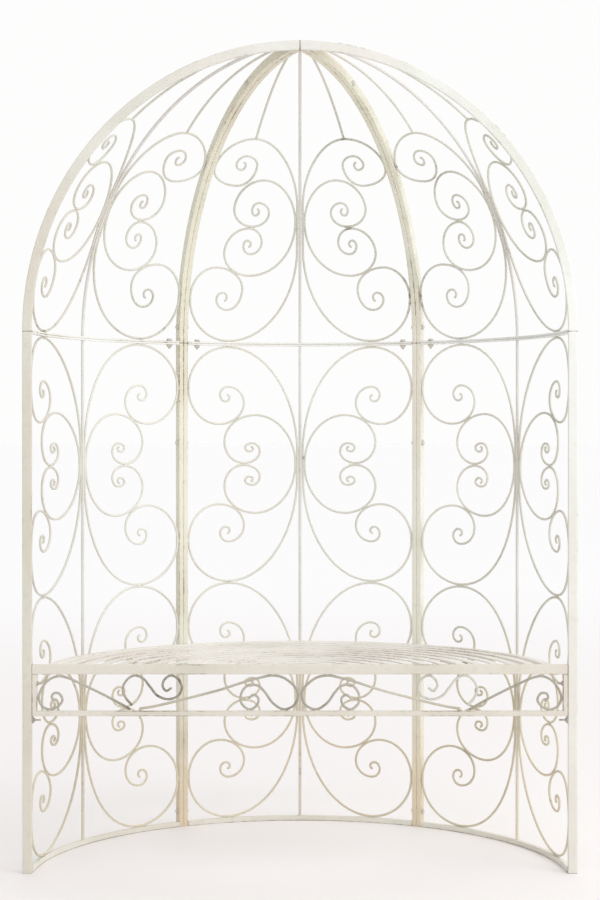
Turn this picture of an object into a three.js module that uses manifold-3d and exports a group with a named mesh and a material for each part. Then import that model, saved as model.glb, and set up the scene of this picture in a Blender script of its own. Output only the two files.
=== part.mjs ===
// Arbor bench: a half-round metal arbor in two tiers, three wall panels with three dome gores standing on
// them, all bolted together, with scrollwork in each and a half-moon seat with a scrolled apron.
// Millimetres, +Z up. The open front faces -Y, and left is -X, as someone in front of the bench sees it.
import * as THREE from "three";
import { mergeVertices } from "three/addons/utils/BufferGeometryUtils.js";
import Module from "manifold-3d";

const wasm = await Module();
wasm.setup();

// Overall sizes
const overallWidth = 1300;
const overallHeight = 1950;
const domeRise = 680;
const centrePanelDegrees = 58.2;

// Stiles: rectangular bar, deep across the wall and wide along it
const stileDeep = 22;
const stileWide = 12.5;
const fitGap = 0.3;

// Rails, rods and wire
const bottomRailDeep = 12;
const bottomRailTall = 13;
const ringRailDeep = 12;
const ringRailTall = 5;
const rodDiameter = 8;
const wireDiameter = 6;
const weldSink = 1.2;

// Seat
const seatHeight = 490;
const frontRailTall = 23;
const frontRailDeep = 12;
const deckDrop = 8;
const slatWide = 22;
const slatThick = 3;
const slatPitch = 40.5;
const rimWide = 22;
const rimTall = 18;
const rimGap = 23;
const smallestSlatRadius = 50;
const bearerWide = 20;
const bearerTall = 5;
const bearerSpacing = 330;
const lugWide = 24;
const lugTall = 10;

// Apron under the seat's front rail
const apronRailTall = 12;
const apronTall = 86;
const apronPostWide = 12;

// Bolts that lie through the paired stiles, and upright ones through the paired ring rails
const boltDiameter = 6;
const boltClearance = 0.6;
const boltAcrossFlats = 10;
const boltHeadTall = 3.5;
const footBoltHeight = 39;
const wallBoltHeight = 1008;
const goreBoltAboveRail = 37;
const crownBoltShare = 0.75;
const ringBoltFromRib = 40.5;
const ringBoltTail = 5;

// Smoothness: how far a chord may stand off the true curve, and how many sides a section has
const scrollChordError = 4;
const apronChordError = 1.2;
const barChordError = 3;
const stileSteps = 12;
const apronWireSides = 4;
const rodSides = 6;
const boltSides = 6;

// Worked-out sizes
const quarterTurn = Math.PI / 2;
const outerRadius = overallWidth / 2;
const springHeight = overallHeight - domeRise;
const stileRadius = outerRadius - stileDeep / 2;
const legInner = outerRadius - stileDeep;
const grilleRadius = legInner + rodDiameter / 2;
const stileInset = stileWide + fitGap / 2;
const ribAngle = THREE.MathUtils.degToRad(centrePanelDegrees / 2);
const overallDepth = grilleRadius + bottomRailDeep / 2;
const topRailLow = springHeight - ringRailTall;
const footRailTop = springHeight + ringRailTall;
const scrollJointHeight = (bottomRailTall + topRailLow) / 2;
const wireHalf = wireDiameter / 2;
const frontRailLow = seatHeight - frontRailTall;
const apronRailTop = frontRailLow - apronTall;
const deckTop = seatHeight - deckDrop;
const rimOuterRadius = legInner - rimGap;
const rimRadius = rimOuterRadius - rimWide / 2;
const bearerReach = Math.sqrt(rimRadius ** 2 - bearerSpacing ** 2);
const apronHalf = legInner - fitGap;
const apronPlane = frontRailDeep / 2;

// An upright section of the dome is a quarter of an ellipse. The grille lies flush with the inside of
// the stiles on the wall, and drifts across their depth until it is flush with their outside at the apex.
const stileDome = {
  radius: stileRadius,
  spring: springHeight,
  rise: domeRise - stileDeep / 2,
};
const grilleDome = {
  radius: grilleRadius,
  spring: springHeight,
  rise: domeRise - rodDiameter / 2,
};
const domeQuarterArc = (quarterTurn * (grilleDome.radius + grilleDome.rise)) / 2;

// Scroll shapes, as shares of the half panel's free width and of half a tier's free height.
// Each row is a place where the wire runs level or upright; a quarter of an ellipse joins it to the next.
const wallOuterShares = [
  [0, 0.1],
  [0.62, 1],
  [1, 0.645],
  [0.71, 0.342],
  [0.48, 0.524],
  [0.624, 0.662],
  [0.7, 0.592],
  [0.65, 0.536],
];
const wallInnerShares = [
  [0, 0],
  [0.376, 0.42],
  [0.66, 0.188],
  [0.48, 0],
  [0.337, 0.107],
  [0.403, 0.179],
  [0.47, 0.144],
];
// The dome's rows give the height as a share of the quarter round from its spring line to the apex.
const domeOuterUpShares = [
  [0, 0.356],
  [0.567, 0.546],
  [1, 0.457],
  [0.686, 0.407],
  [0.481, 0.464],
  [0.631, 0.493],
  [0.738, 0.468],
  [0.66, 0.452],
];
const domeOuterDownShares = [
  [0, 0.245],
  [0.625, 0],
  [1, 0.116],
  [0.763, 0.191],
  [0.507, 0.137],
  [0.646, 0.085],
  [0.745, 0.111],
  [0.69, 0.128],
];
const domeInnerUpShares = [
  [0, 0.312],
  [0.369, 0.425],
  [0.663, 0.349],
  [0.452, 0.296],
  [0.291, 0.334],
  [0.404, 0.362],
  [0.47, 0.343],
];
const domeInnerDownShares = [
  [0, 0.312],
  [0.45, 0.172],
  [0.706, 0.231],
  [0.481, 0.296],
  [0.346, 0.257],
  [0.451, 0.227],
  [0.523, 0.248],
];
const domeTieEndShare = 0.94;

// Apron scrolls: share of the way from the middle to the end post, share of the height between the rails
const apronCornerShares = [
  [0.65, 0.01],
  [0.699, 0.225],
  [0.785, 0.565],
  [0.843, 0.775],
  [0.887, 0.925],
  [0.924, 0.98],
  [0.961, 0.87],
  [0.99, 0.6],
  [1, 0.32],
  [0.986, 0.09],
  [0.957, 0],
  [0.926, 0.085],
  [0.909, 0.28],
  [0.922, 0.47],
  [0.943, 0.47],
  [0.95, 0.35],
  [0.94, 0.26],
];
const apronMiddleShares = [
  [0.643, 0.14],
  [0.666, 0.35],
  [0.677, 0.6],
  [0.661, 0.87],
  [0.63, 1],
  [0.597, 0.9],
  [0.571, 0.66],
  [0.542, 0.4],
  [0.5, 0.3],
  [0.461, 0.42],
  [0.45, 0.66],
  [0.463, 0.89],
  [0.492, 1],
  [0.517, 0.87],
  [0.523, 0.68],
  [0.509, 0.545],
  [0.492, 0.62],
];
const apronLongShares = [
  [0.608, 0.03],
  [0.57, 0.07],
  [0.509, 0.17],
  [0.4, 0.38],
  [0.304, 0.575],
  [0.2, 0.83],
  [0.145, 0.94],
  [0.1, 1],
  [0.05, 0.9],
  [0.002, 0.5],
  [0.016, 0.14],
  [0.056, 0],
  [0.098, 0.18],
  [0.13, 0.51],
  [0.154, 0.69],
  [0.192, 0.72],
  [0.219, 0.5],
  [0.221, 0.2],
  [0.19, 0],
  [0.161, 0.12],
  [0.155, 0.33],
  [0.173, 0.43],
  [0.19, 0.34],
];

// Finishes
const paint = { color: 0xe6e1d3, roughness: 0.55, metalness: 0.1 };
const wornPaint = { color: 0xd5cebe, roughness: 0.6, metalness: 0.15 };
const boltSteel = { color: 0xb9b2a3, roughness: 0.5, metalness: 0.4 };

const hands = [
  { side: -1, hand: "left" },
  { side: 1, hand: "right" },
];

const bench = new THREE.Group();
bench.position.y = -overallDepth / 2;

function addPiece(name, geometry, look) {
  const mesh = new THREE.Mesh(geometry, new THREE.MeshStandardMaterial(look));
  mesh.name = name;
  bench.add(mesh);
}

// A closed geometry as a solid that can be joined and cut.
function toSolid(geometry) {
  const bare = geometry.index ? geometry.toNonIndexed() : geometry.clone();
  bare.deleteAttribute("normal");
  bare.deleteAttribute("uv");
  const merged = mergeVertices(bare);
  return new wasm.Manifold(
    new wasm.Mesh({
      numProp: 3,
      vertProperties: merged.attributes.position.array,
      triVerts: new Uint32Array(merged.index.array),
    }),
  );
}

function toGeometry(solid) {
  const mesh = solid.getMesh();
  const geometry = new THREE.BufferGeometry();
  geometry.setAttribute("position", new THREE.BufferAttribute(mesh.vertProperties, mesh.numProp));
  geometry.setIndex(new THREE.BufferAttribute(mesh.triVerts, 1));
  return geometry;
}

const joined = (geometries) => geometries.map(toSolid).reduce((all, one) => all.add(one));

// A path given by its stations, each with the direction that the section's first side faces.
// At a station the section stands square to its own direction, or else to the mean of the two chords.
class StationPath extends THREE.Curve {
  constructor(stations) {
    super();
    this.points = stations.map((station) => station.point);
    this.facings = stations.map((station) => station.facing);
    this.directions = stations.map((station) => station.direction);
    this.steps = stations.length - 1;
  }

  getPointAt(share) {
    return this.points[Math.round(share * this.steps)].clone();
  }

  computeFrenetFrames() {
    const frames = { tangents: [], normals: [], binormals: [] };
    this.points.forEach((point, i) => {
      const before = this.points[Math.max(i - 1, 0)];
      const after = this.points[Math.min(i + 1, this.steps)];
      const incoming = point.clone().sub(before).normalize();
      const outgoing = after.clone().sub(point).normalize();
      const tangent = this.directions[i] ?? incoming.add(outgoing).normalize();
      const normal = this.facings[i].clone().projectOnPlane(tangent).normalize();
      frames.tangents.push(tangent);
      frames.normals.push(normal);
      frames.binormals.push(tangent.clone().cross(normal));
    });
    return frames;
  }
}

function sweep(stations, section) {
  const extrudePath = new StationPath(stations);
  return new THREE.ExtrudeGeometry(section, {
    steps: extrudePath.steps,
    bevelEnabled: false,
    extrudePath,
  });
}

// Sections: x is the way the station faces, y is across it.
function barSection(deep, wide) {
  const corners = [
    [-deep, -wide],
    [deep, -wide],
    [deep, wide],
    [-deep, wide],
  ];
  return new THREE.Shape(corners.map(([x, y]) => new THREE.Vector2(x / 2, y / 2)));
}

// A round bar as a polygon whose flats touch the circle, with one flat square across the path.
function roundSection(diameter, sides) {
  const halfStep = Math.PI / sides;
  const corner = diameter / 2 / Math.cos(halfStep);
  const points = [];
  for (let i = 0; i < sides; i += 1) {
    const angle = quarterTurn + halfStep * (2 * i + 1);
    points.push(new THREE.Vector2(corner * Math.cos(angle), corner * Math.sin(angle)));
  }
  return new THREE.Shape(points);
}

// The wall's thin wire keeps its width and depth but has three sides, the flat one to the sitter.
const wireSection = new THREE.Shape([
  new THREE.Vector2(-wireHalf, -wireHalf),
  new THREE.Vector2(wireHalf, 0),
  new THREE.Vector2(-wireHalf, wireHalf),
]);
const apronWireSection = roundSection(wireDiameter, apronWireSides);
const rodSection = roundSection(rodDiameter, rodSides);

// How many chords keep within the error on an arc of this radius and angle.
function arcSteps(radius, angle, chordError) {
  const oneStep = 2 * Math.acos(1 - Math.min(chordError / radius, 1));
  return Math.max(2, Math.ceil(angle / oneStep));
}

// The angle at which a piece at this radius is clear of the stile by the given distance.
const clearAngle = (radius, distance) => Math.asin((stileInset + distance) / radius);

// A point on the wall: angle from the middle of the back, radius from the arbor's axis, height.
function wallStation(angle, radius, height) {
  const facing = new THREE.Vector3(Math.sin(angle), Math.cos(angle), 0);
  const point = facing.clone().multiplyScalar(radius);
  point.z = height;
  return { point, facing };
}

// A direction or place from how far it goes out from the axis and how far up.
const outAndUp = (angle, out, up) =>
  new THREE.Vector3(out * Math.sin(angle), out * Math.cos(angle), up);

// A point on a dome at an angle round the axis and a climb from the spring line, 0, to the apex.
function domeStation({ radius, spring, rise }, angle, climb) {
  const [out, up] = [Math.cos(climb), Math.sin(climb)];
  return {
    point: outAndUp(angle, radius * out, spring + rise * up),
    facing: outAndUp(angle, rise * out, radius * up).normalize(),
    direction: outAndUp(angle, -radius * up, rise * out).normalize(),
  };
}

// An arc level at one height, whose every station stands square to the true circle
function levelArc(radius, fromAngle, toAngle, height) {
  const half = Math.ceil(arcSteps(radius, toAngle - fromAngle, barChordError) / 2);
  const stations = [];
  for (let i = -half; i <= half; i += 1) {
    const angle = (fromAngle + toAngle) / 2 + ((toAngle - fromAngle) / 2) * (i / half);
    const direction = new THREE.Vector3(Math.cos(angle), -Math.sin(angle), 0);
    stations.push({ ...wallStation(angle, radius, height), direction });
  }
  return stations;
}

// Stiles

// A stile stands in a plane beside the panel's edge plane, offset towards the inside of its panel.
function stileBar(stations, edgeAngle, offset) {
  const aside = new THREE.Vector3(Math.cos(edgeAngle), -Math.sin(edgeAngle), 0);
  stations.forEach((station) => station.point.addScaledVector(aside, offset));
  return sweep(stations, barSection(stileDeep, stileWide));
}

function wallStile(edgeAngle, offset) {
  const heights = [0, springHeight - fitGap / 2];
  const stations = heights.map((height) => wallStation(edgeAngle, stileRadius, height));
  return stileBar(stations, edgeAngle, offset);
}

// The gore's stile stands on the wall's at the spring line and bends over to the apex.
function goreStile(edgeAngle, offset, endClimb) {
  const foot = wallStation(edgeAngle, stileRadius, springHeight + fitGap / 2);
  const stations = [{ ...foot, direction: outAndUp(edgeAngle, 0, 1) }];
  for (let i = 1; i <= stileSteps; i += 1) {
    stations.push(domeStation(stileDome, edgeAngle, (endClimb * i) / stileSteps));
  }
  return stileBar(stations, edgeAngle, offset);
}

// The front stiles meet face to face at the apex. The rib stiles run past it and are cut to fit them.
function apexCutter(side) {
  const reach = 2 * stileDeep;
  const behindFront = new THREE.BoxGeometry(4 * reach, 2 * reach, 4 * reach);
  behindFront.translate(0, stileWide + fitGap - reach, overallHeight);
  const otherSide = new THREE.BoxGeometry(2 * reach, 4 * reach, 4 * reach);
  otherSide.translate(side * (fitGap / 2 - reach), 0, overallHeight);
  return joined([behindFront, otherSide]);
}

// The bolts through a rib, two in the wall and two in the dome, by name and height
const ribBoltHeights = {
  foot: footBoltHeight,
  wall: wallBoltHeight,
  gore: footRailTop + goreBoltAboveRail,
  crown: springHeight + stileDome.rise * Math.sin(crownBoltShare * quarterTurn),
};

// Where a bolt at this height crosses the stile's middle line, upright on the wall and curved above it
function boltPlace(height) {
  const climb = Math.asin(Math.max(height - stileDome.spring, 0) / stileDome.rise);
  return { radius: stileDome.radius * Math.cos(climb), height };
}

// A six-sided prism that lies across a rib, from one distance beside the rib's plane to another
function acrossRib(edgeAngle, place, diameter, from, to) {
  const prism = new THREE.CylinderGeometry(diameter / 2, diameter / 2, to - from, boltSides);
  prism.translate(0, (from + to) / 2, 0);
  prism.rotateZ(-quarterTurn);
  prism.rotateZ(-edgeAngle);
  const { point } = wallStation(edgeAngle, place.radius, place.height);
  return prism.translate(point.x, point.y, point.z);
}

const boltHole = boltDiameter + boltClearance;
const headDiameter = boltAcrossFlats / Math.cos(Math.PI / boltSides);

function addRibBolts(name, edgeAngle) {
  const seat = stileInset + fitGap;
  Object.entries(ribBoltHeights).forEach(([boltName, height]) => {
    const place = boltPlace(height);
    const shank = acrossRib(edgeAngle, place, boltDiameter, -seat - weldSink, seat + weldSink);
    const head = acrossRib(edgeAngle, place, headDiameter, -seat - boltHeadTall, -seat);
    const nut = acrossRib(edgeAngle, place, headDiameter, seat, seat + boltHeadTall);
    addPiece(name + "_" + boltName + "_bolt", toGeometry(joined([shank, head, nut])), boltSteel);
  });
}

function addStiles(side, stileName, edgeAngle, inward) {
  const atFront = Math.abs(edgeAngle) > ribAngle;
  const endClimb = atFront ? Math.acos(fitGap / 2 / stileRadius) : quarterTurn;
  const offset = inward * (atFront ? stileWide / 2 : stileInset - stileWide / 2);
  let onWall = wallStile(edgeAngle, offset);
  let onDome = goreStile(edgeAngle, offset, endClimb);
  if (!atFront) {
    const holes = Object.values(ribBoltHeights).map((height) =>
      acrossRib(edgeAngle, boltPlace(height), boltHole, -stileDeep, stileDeep),
    );
    const cutters = [...holes, toGeometry(apexCutter(Math.sign(edgeAngle)))];
    onWall = toGeometry(toSolid(onWall).subtract(joined(holes)));
    onDome = toGeometry(toSolid(onDome).subtract(joined(cutters)));
  }
  addPiece(side + "_wall_" + stileName, onWall, paint);
  addPiece(side + "_gore_" + stileName, onDome, paint);
}

// Ring rails: the wall panel's top rail and the gore's foot rail, held together beside each rib

const ringBoltTurn = ringBoltFromRib / grilleRadius;
const ringBoltAngles = {
  left: -ribAngle - ringBoltTurn,
  middle_left: -ribAngle + ringBoltTurn,
  middle_right: ribAngle - ringBoltTurn,
  right: ribAngle + ringBoltTurn,
};

function uprightPrism(angle, diameter, low, high) {
  const prism = new THREE.CylinderGeometry(diameter / 2, diameter / 2, high - low, boltSides);
  prism.rotateX(quarterTurn);
  prism.rotateZ(-angle);
  const { point } = wallStation(angle, grilleRadius, (low + high) / 2);
  return prism.translate(point.x, point.y, point.z);
}

function ringRail(fromAngle, toAngle, low, tall) {
  const bar = sweep(
    levelArc(grilleRadius, fromAngle, toAngle, low + tall / 2),
    barSection(ringRailDeep, tall),
  );
  const holes = Object.values(ringBoltAngles)
    .filter((angle) => angle > fromAngle && angle < toAngle)
    .map((angle) => uprightPrism(angle, boltHole, low - tall, low + 2 * tall));
  return toGeometry(toSolid(bar).subtract(joined(holes)));
}

function ringBolt(angle) {
  const underside = topRailLow - fitGap;
  const topside = footRailTop + fitGap;
  const tip = underside - boltHeadTall - ringBoltTail;
  const shank = uprightPrism(angle, boltDiameter, tip, topside + weldSink);
  const nut = uprightPrism(angle, headDiameter, underside - boltHeadTall, underside);
  const head = uprightPrism(angle, headDiameter, topside, topside + boltHeadTall);
  return toGeometry(joined([shank, nut, head]));
}

// Scrollwork

// Quarter ellipses from row to row. The first row runs upright, the next level, and so on by turns.
function quarterChain(rows, chordError) {
  const flat = [new THREE.Vector2(...rows[0])];
  for (let i = 1; i < rows.length; i += 1) {
    const [fromX, fromY] = rows[i - 1];
    const [toX, toY] = rows[i];
    const startsUpright = i % 2 === 1;
    const longest = Math.max(Math.abs(toX - fromX), Math.abs(toY - fromY));
    const steps = arcSteps(longest, quarterTurn, chordError);
    for (let k = 1; k <= steps; k += 1) {
      const turn = (quarterTurn * k) / steps;
      const late = 1 - Math.cos(turn);
      const early = Math.sin(turn);
      const x = fromX + (toX - fromX) * (startsUpright ? late : early);
      const y = fromY + (toY - fromY) * (startsUpright ? early : late);
      flat.push(new THREE.Vector2(x, y));
    }
  }
  return flat;
}

// One wire from the end of its first curl, through the two chains' common start, to its other end.
const wholeWire = (firstHalf, secondHalf) => [...firstHalf.slice(1).reverse(), ...secondHalf];

// The room that a wire has between the rod and the stile, at a given radius from the axis.
function freeWidth(panel, radius) {
  const nearRod = rodDiameter / 2 + fitGap + wireHalf;
  const nearStile = radius * (panel.halfAngle - clearAngle(radius, fitGap + wireHalf));
  return { nearRod, width: nearStile - nearRod };
}

// Wall rows: across is arc length from the rod, up is height from the middle of the row.
function wallRow(panel, side, low, high) {
  const { nearRod, width } = freeWidth(panel, grilleRadius);
  const halfTall = (high - low) / 2 - wireHalf - fitGap / 2;
  const middle = (high + low) / 2;
  const curlMeet = wireHalf + fitGap / 2;
  const station = ({ x, y }) =>
    wallStation(panel.middleAngle + (side * x) / grilleRadius, grilleRadius, middle + y);
  const weldAcross = nearRod + wireDiameter - weldSink;
  const outerRows = wallOuterShares.map(([x, y]) => [nearRod + width * x, halfTall * y]);
  const innerRows = wallInnerShares.map(([x, y], i) => [
    i ? nearRod + width * x : weldAcross,
    i ? Math.max(halfTall * y, curlMeet) : 0,
  ]);
  return [outerRows, innerRows].map((rows) => {
    const upper = quarterChain(rows, scrollChordError);
    const lower = upper.map(({ x, y }) => new THREE.Vector2(x, -y));
    return sweep(wholeWire(lower, upper).map(station), wireSection);
  });
}

// Two rows of scrolls, one above the other, sunk into each other a little where they are welded
function wallScrolls(panel, side) {
  const lowRow = wallRow(panel, side, bottomRailTall, scrollJointHeight + weldSink / 2);
  const highRow = wallRow(panel, side, scrollJointHeight - weldSink / 2, topRailLow);
  return toGeometry(joined([...lowRow, ...highRow]));
}

// Dome tiers: the same idea with the height measured along the curve of the dome. The rows lie on a
// sheet as wide as the panel at the spring line, and the sheet narrows towards the apex as the gore does.
// A short tie runs on from the outer scroll's top to the stile.
function domeScrolls(panel, side) {
  const sheetWide = freeWidth(panel, grilleRadius).width;
  const climbAt = (arc) => (arc / domeQuarterArc) * quarterTurn;
  const radiusAt = (arc) => grilleRadius * Math.cos(climbAt(arc));
  const roomAt = (arc) => freeWidth(panel, radiusAt(arc));
  const onSheet = ([across, climb]) => [sheetWide * across, domeQuarterArc * climb];
  const acrossAt = ({ x, y }) => roomAt(y).nearRod + (roomAt(y).width * x) / sheetWide;
  const stationAt = (across, arc) => {
    const angle = panel.middleAngle + (side * across) / radiusAt(arc);
    const { point, facing } = domeStation(grilleDome, angle, climbAt(arc));
    return { point, facing };
  };
  const station = (place) => stationAt(acrossAt(place), place.y);

  const lowest = footRailTop + fitGap + wireHalf;
  const lowestClimb = Math.asin((lowest - grilleDome.spring) / grilleDome.rise);
  const outerDown = domeOuterDownShares.map(onSheet);
  outerDown[1][1] = (domeQuarterArc * lowestClimb) / quarterTurn;
  const outerUp = domeOuterUpShares.map(onSheet);
  const innerDown = domeInnerDownShares.map(onSheet);
  const innerUp = domeInnerUpShares.map(onSheet);
  const curlMeet = wireHalf + fitGap / 2;
  innerUp[3][1] += curlMeet;
  innerDown[3][1] -= curlMeet;
  innerUp[0][0] = ((wireDiameter - weldSink) * sheetWide) / roomAt(innerUp[0][1]).width;
  innerDown[0][0] = innerUp[0][0];
  const wires = [
    [outerDown, outerUp],
    [innerDown, innerUp],
  ].map(([down, up]) => {
    const halves = [down, up].map((rows) => quarterChain(rows, scrollChordError));
    return sweep(wholeWire(...halves).map(station), wireSection);
  });

  const [topX, topY] = outerUp[1];
  const tieFrom = new THREE.Vector2(acrossAt({ x: topX, y: topY }), topY);
  const [endX, endY] = onSheet([1, domeTieEndShare]);
  const tieTo = new THREE.Vector2(acrossAt({ x: endX, y: endY }), endY);
  const tieSteps = arcSteps(grilleRadius, quarterTurn / 2, barChordError);
  const tie = [];
  for (let i = 0; i <= tieSteps; i += 1) {
    const { x, y } = tieFrom.clone().lerp(tieTo, i / tieSteps);
    tie.push(stationAt(x, y));
  }
  return toGeometry(joined([...wires, sweep(tie, wireSection)]));
}

// Panels: each has a wall part and, standing on it, a gore of the dome

function addPanel(side, fromAngle, toAngle) {
  const onWall = side + "_wall_";
  const onDome = side + "_gore_";
  const panel = {
    halfAngle: (toAngle - fromAngle) / 2,
    middleAngle: (toAngle + fromAngle) / 2,
  };
  const railFrom = (radius) => fromAngle + clearAngle(radius, fitGap);
  const railTo = (radius) => toAngle - clearAngle(radius, fitGap);
  const bottomInner = grilleRadius - bottomRailDeep / 2;
  const bottomArc = levelArc(
    grilleRadius,
    railFrom(bottomInner),
    railTo(bottomInner),
    bottomRailTall / 2,
  );
  addPiece(
    onWall + "bottom_rail",
    sweep(bottomArc, barSection(bottomRailDeep, bottomRailTall)),
    paint,
  );
  const ringInner = grilleRadius - ringRailDeep / 2;
  const ringEnds = [railFrom(ringInner), railTo(ringInner)];
  const thickness = ringRailTall - fitGap / 2;
  addPiece(onWall + "top_rail", ringRail(...ringEnds, topRailLow, thickness), wornPaint);
  addPiece(onDome + "foot_rail", ringRail(...ringEnds, springHeight + fitGap / 2, thickness), wornPaint);

  const wallRod = [bottomRailTall + fitGap, topRailLow - fitGap].map((height) =>
    wallStation(panel.middleAngle, grilleRadius, height),
  );
  addPiece(onWall + "rod", sweep(wallRod, rodSection), paint);
  const rodEndRadius = (stileInset + fitGap + rodDiameter / 2) / Math.sin(panel.halfAngle);
  const rodFrom = Math.asin((footRailTop + fitGap - grilleDome.spring) / grilleDome.rise);
  const rodTo = Math.acos(rodEndRadius / grilleRadius);
  const goreRod = [];
  for (let i = 0; i <= stileSteps; i += 1) {
    const climb = THREE.MathUtils.lerp(rodFrom, rodTo, i / stileSteps);
    goreRod.push(domeStation(grilleDome, panel.middleAngle, climb));
  }
  addPiece(onDome + "rod", sweep(goreRod, rodSection), paint);

  hands.forEach((half) => {
    addPiece(onWall + "scrolls_" + half.hand, wallScrolls(panel, half.side), wornPaint);
    addPiece(onDome + "scrolls_" + half.hand, domeScrolls(panel, half.side), wornPaint);
  });
}

addPanel("left", -quarterTurn, -ribAngle);
addPanel("middle", -ribAngle, ribAngle);
addPanel("right", ribAngle, quarterTurn);

addStiles("left", "front_stile", -quarterTurn, 1);
addStiles("left", "rib_stile", -ribAngle, -1);
addStiles("middle", "left_stile", -ribAngle, 1);
addStiles("middle", "right_stile", ribAngle, -1);
addStiles("right", "rib_stile", ribAngle, 1);
addStiles("right", "front_stile", quarterTurn, -1);

addRibBolts("left_rib", -ribAngle);
addRibBolts("right_rib", ribAngle);
Object.entries(ringBoltAngles).forEach(([place, angle]) => {
  addPiece(place + "_ring_bolt", ringBolt(angle), boltSteel);
});

// Seat

function frontRail(grow) {
  const long = 2 * (legInner - fitGap);
  const rail = new THREE.BoxGeometry(long, frontRailDeep + 2 * grow, frontRailTall);
  return rail.translate(0, frontRailDeep / 2, seatHeight - frontRailTall / 2);
}

function halfRing(radius, wide, tall, top) {
  const stations = levelArc(radius, -quarterTurn, quarterTurn, top - tall / 2);
  stations.forEach((station) => {
    station.point.y += frontRailDeep / 2;
  });
  return sweep(stations, barSection(wide, tall));
}

function bearer(across) {
  const bar = new THREE.BoxGeometry(bearerWide, bearerReach, bearerTall);
  const top = deckTop - slatThick + weldSink / 2;
  return bar.translate(across, frontRailDeep / 2 + bearerReach / 2, top - bearerTall / 2);
}

// A lug welded to the rim reaches back to the face of each double rib.
function lug(angle) {
  const from = rimOuterRadius - weldSink - rimWide / 2;
  const to = legInner - fitGap;
  const bar = new THREE.BoxGeometry(lugWide, to - from, lugTall);
  bar.translate(0, (to + from) / 2, deckTop - rimTall / 2);
  return bar.rotateZ(-angle);
}

const slats = [];
for (let radius = rimRadius - slatPitch; radius > smallestSlatRadius; radius -= slatPitch) {
  slats.push(halfRing(radius, slatWide, slatThick, deckTop));
}
const bearers = [-bearerSpacing, 0, bearerSpacing].map((across) => bearer(across));
const rim = halfRing(rimRadius, rimWide, rimTall, deckTop);
const welded = joined([...slats, ...bearers, rim, lug(-ribAngle), lug(ribAngle)]);

addPiece("seat_front_rail", frontRail(0), paint);
addPiece("seat_deck", toGeometry(welded.subtract(toSolid(frontRail(fitGap)))), paint);

// Apron

const apronRail = new THREE.BoxGeometry(2 * apronHalf, frontRailDeep, apronRailTall);
apronRail.translate(0, apronPlane, apronRailTop - apronRailTall / 2);

const postLow = apronRailTop - weldSink;
const postHigh = frontRailLow - fitGap;

function apronPost(side) {
  const post = new THREE.BoxGeometry(apronPostWide, frontRailDeep, postHigh - postLow);
  return post.translate(side * (apronHalf - apronPostWide / 2), apronPlane, (postHigh + postLow) / 2);
}
addPiece("apron_frame", toGeometry(joined([apronRail, apronPost(-1), apronPost(1)])), paint);

// Drops the points that a chord can skip without leaving the curve by more than the error.
function thinned(points, chordError) {
  const kept = [points[0]];
  let from = 0;
  for (let i = 2; i < points.length; i += 1) {
    const chord = new THREE.Line3(points[from], points[i]);
    const skipped = points.slice(from + 1, i);
    const nearest = new THREE.Vector3();
    const offsets = skipped.map((p) => chord.closestPointToPoint(p, true, nearest).distanceTo(p));
    if (Math.max(...offsets) > chordError) {
      from = i - 1;
      kept.push(points[from]);
    }
  }
  kept.push(points[points.length - 1]);
  return kept;
}

function apronScroll(rows, side) {
  const nearMiddle = wireHalf + fitGap / 2;
  const reach = apronHalf - apronPostWide - 2 * fitGap - wireHalf - nearMiddle;
  const lowest = apronRailTop + fitGap + wireHalf;
  const tall = frontRailLow - fitGap - wireHalf - lowest;
  const through = rows.map(([across, up]) => {
    const x = side * (nearMiddle + reach * across);
    return new THREE.Vector3(x, apronPlane, lowest + tall * up);
  });
  const curve = new THREE.CatmullRomCurve3(through, false, "centripetal");
  const perSpan = 8;
  const points = thinned(curve.getPoints(perSpan * (rows.length - 1)), apronChordError);
  const facing = new THREE.Vector3(0, -1, 0);
  return sweep(
    points.map((point) => ({ point, facing })),
    apronWireSection,
  );
}

hands.forEach(({ side, hand }) => {
  addPiece("apron_corner_scroll_" + hand, apronScroll(apronCornerShares, side), wornPaint);
  addPiece("apron_middle_scroll_" + hand, apronScroll(apronMiddleShares, side), wornPaint);
  addPiece("apron_long_scroll_" + hand, apronScroll(apronLongShares, side), wornPaint);
});

export default bench;
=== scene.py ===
# %% [markdown]
# # A garden arbor with a half-moon bench
#
# Three wall panels of tube and bent wire are bolted side by side into half a cylinder, and three gores
# of a dome stand on them. A half-moon bench with a scrolled apron spans the open front. The packed
# solids already have every piece in its place, but with chords for curves and three or four sides for
# wire. This lesson makes each piece again as a smooth surface worked out with numpy, in the same place
# and on the same body, and then gives all of them worn cream paint.

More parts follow.
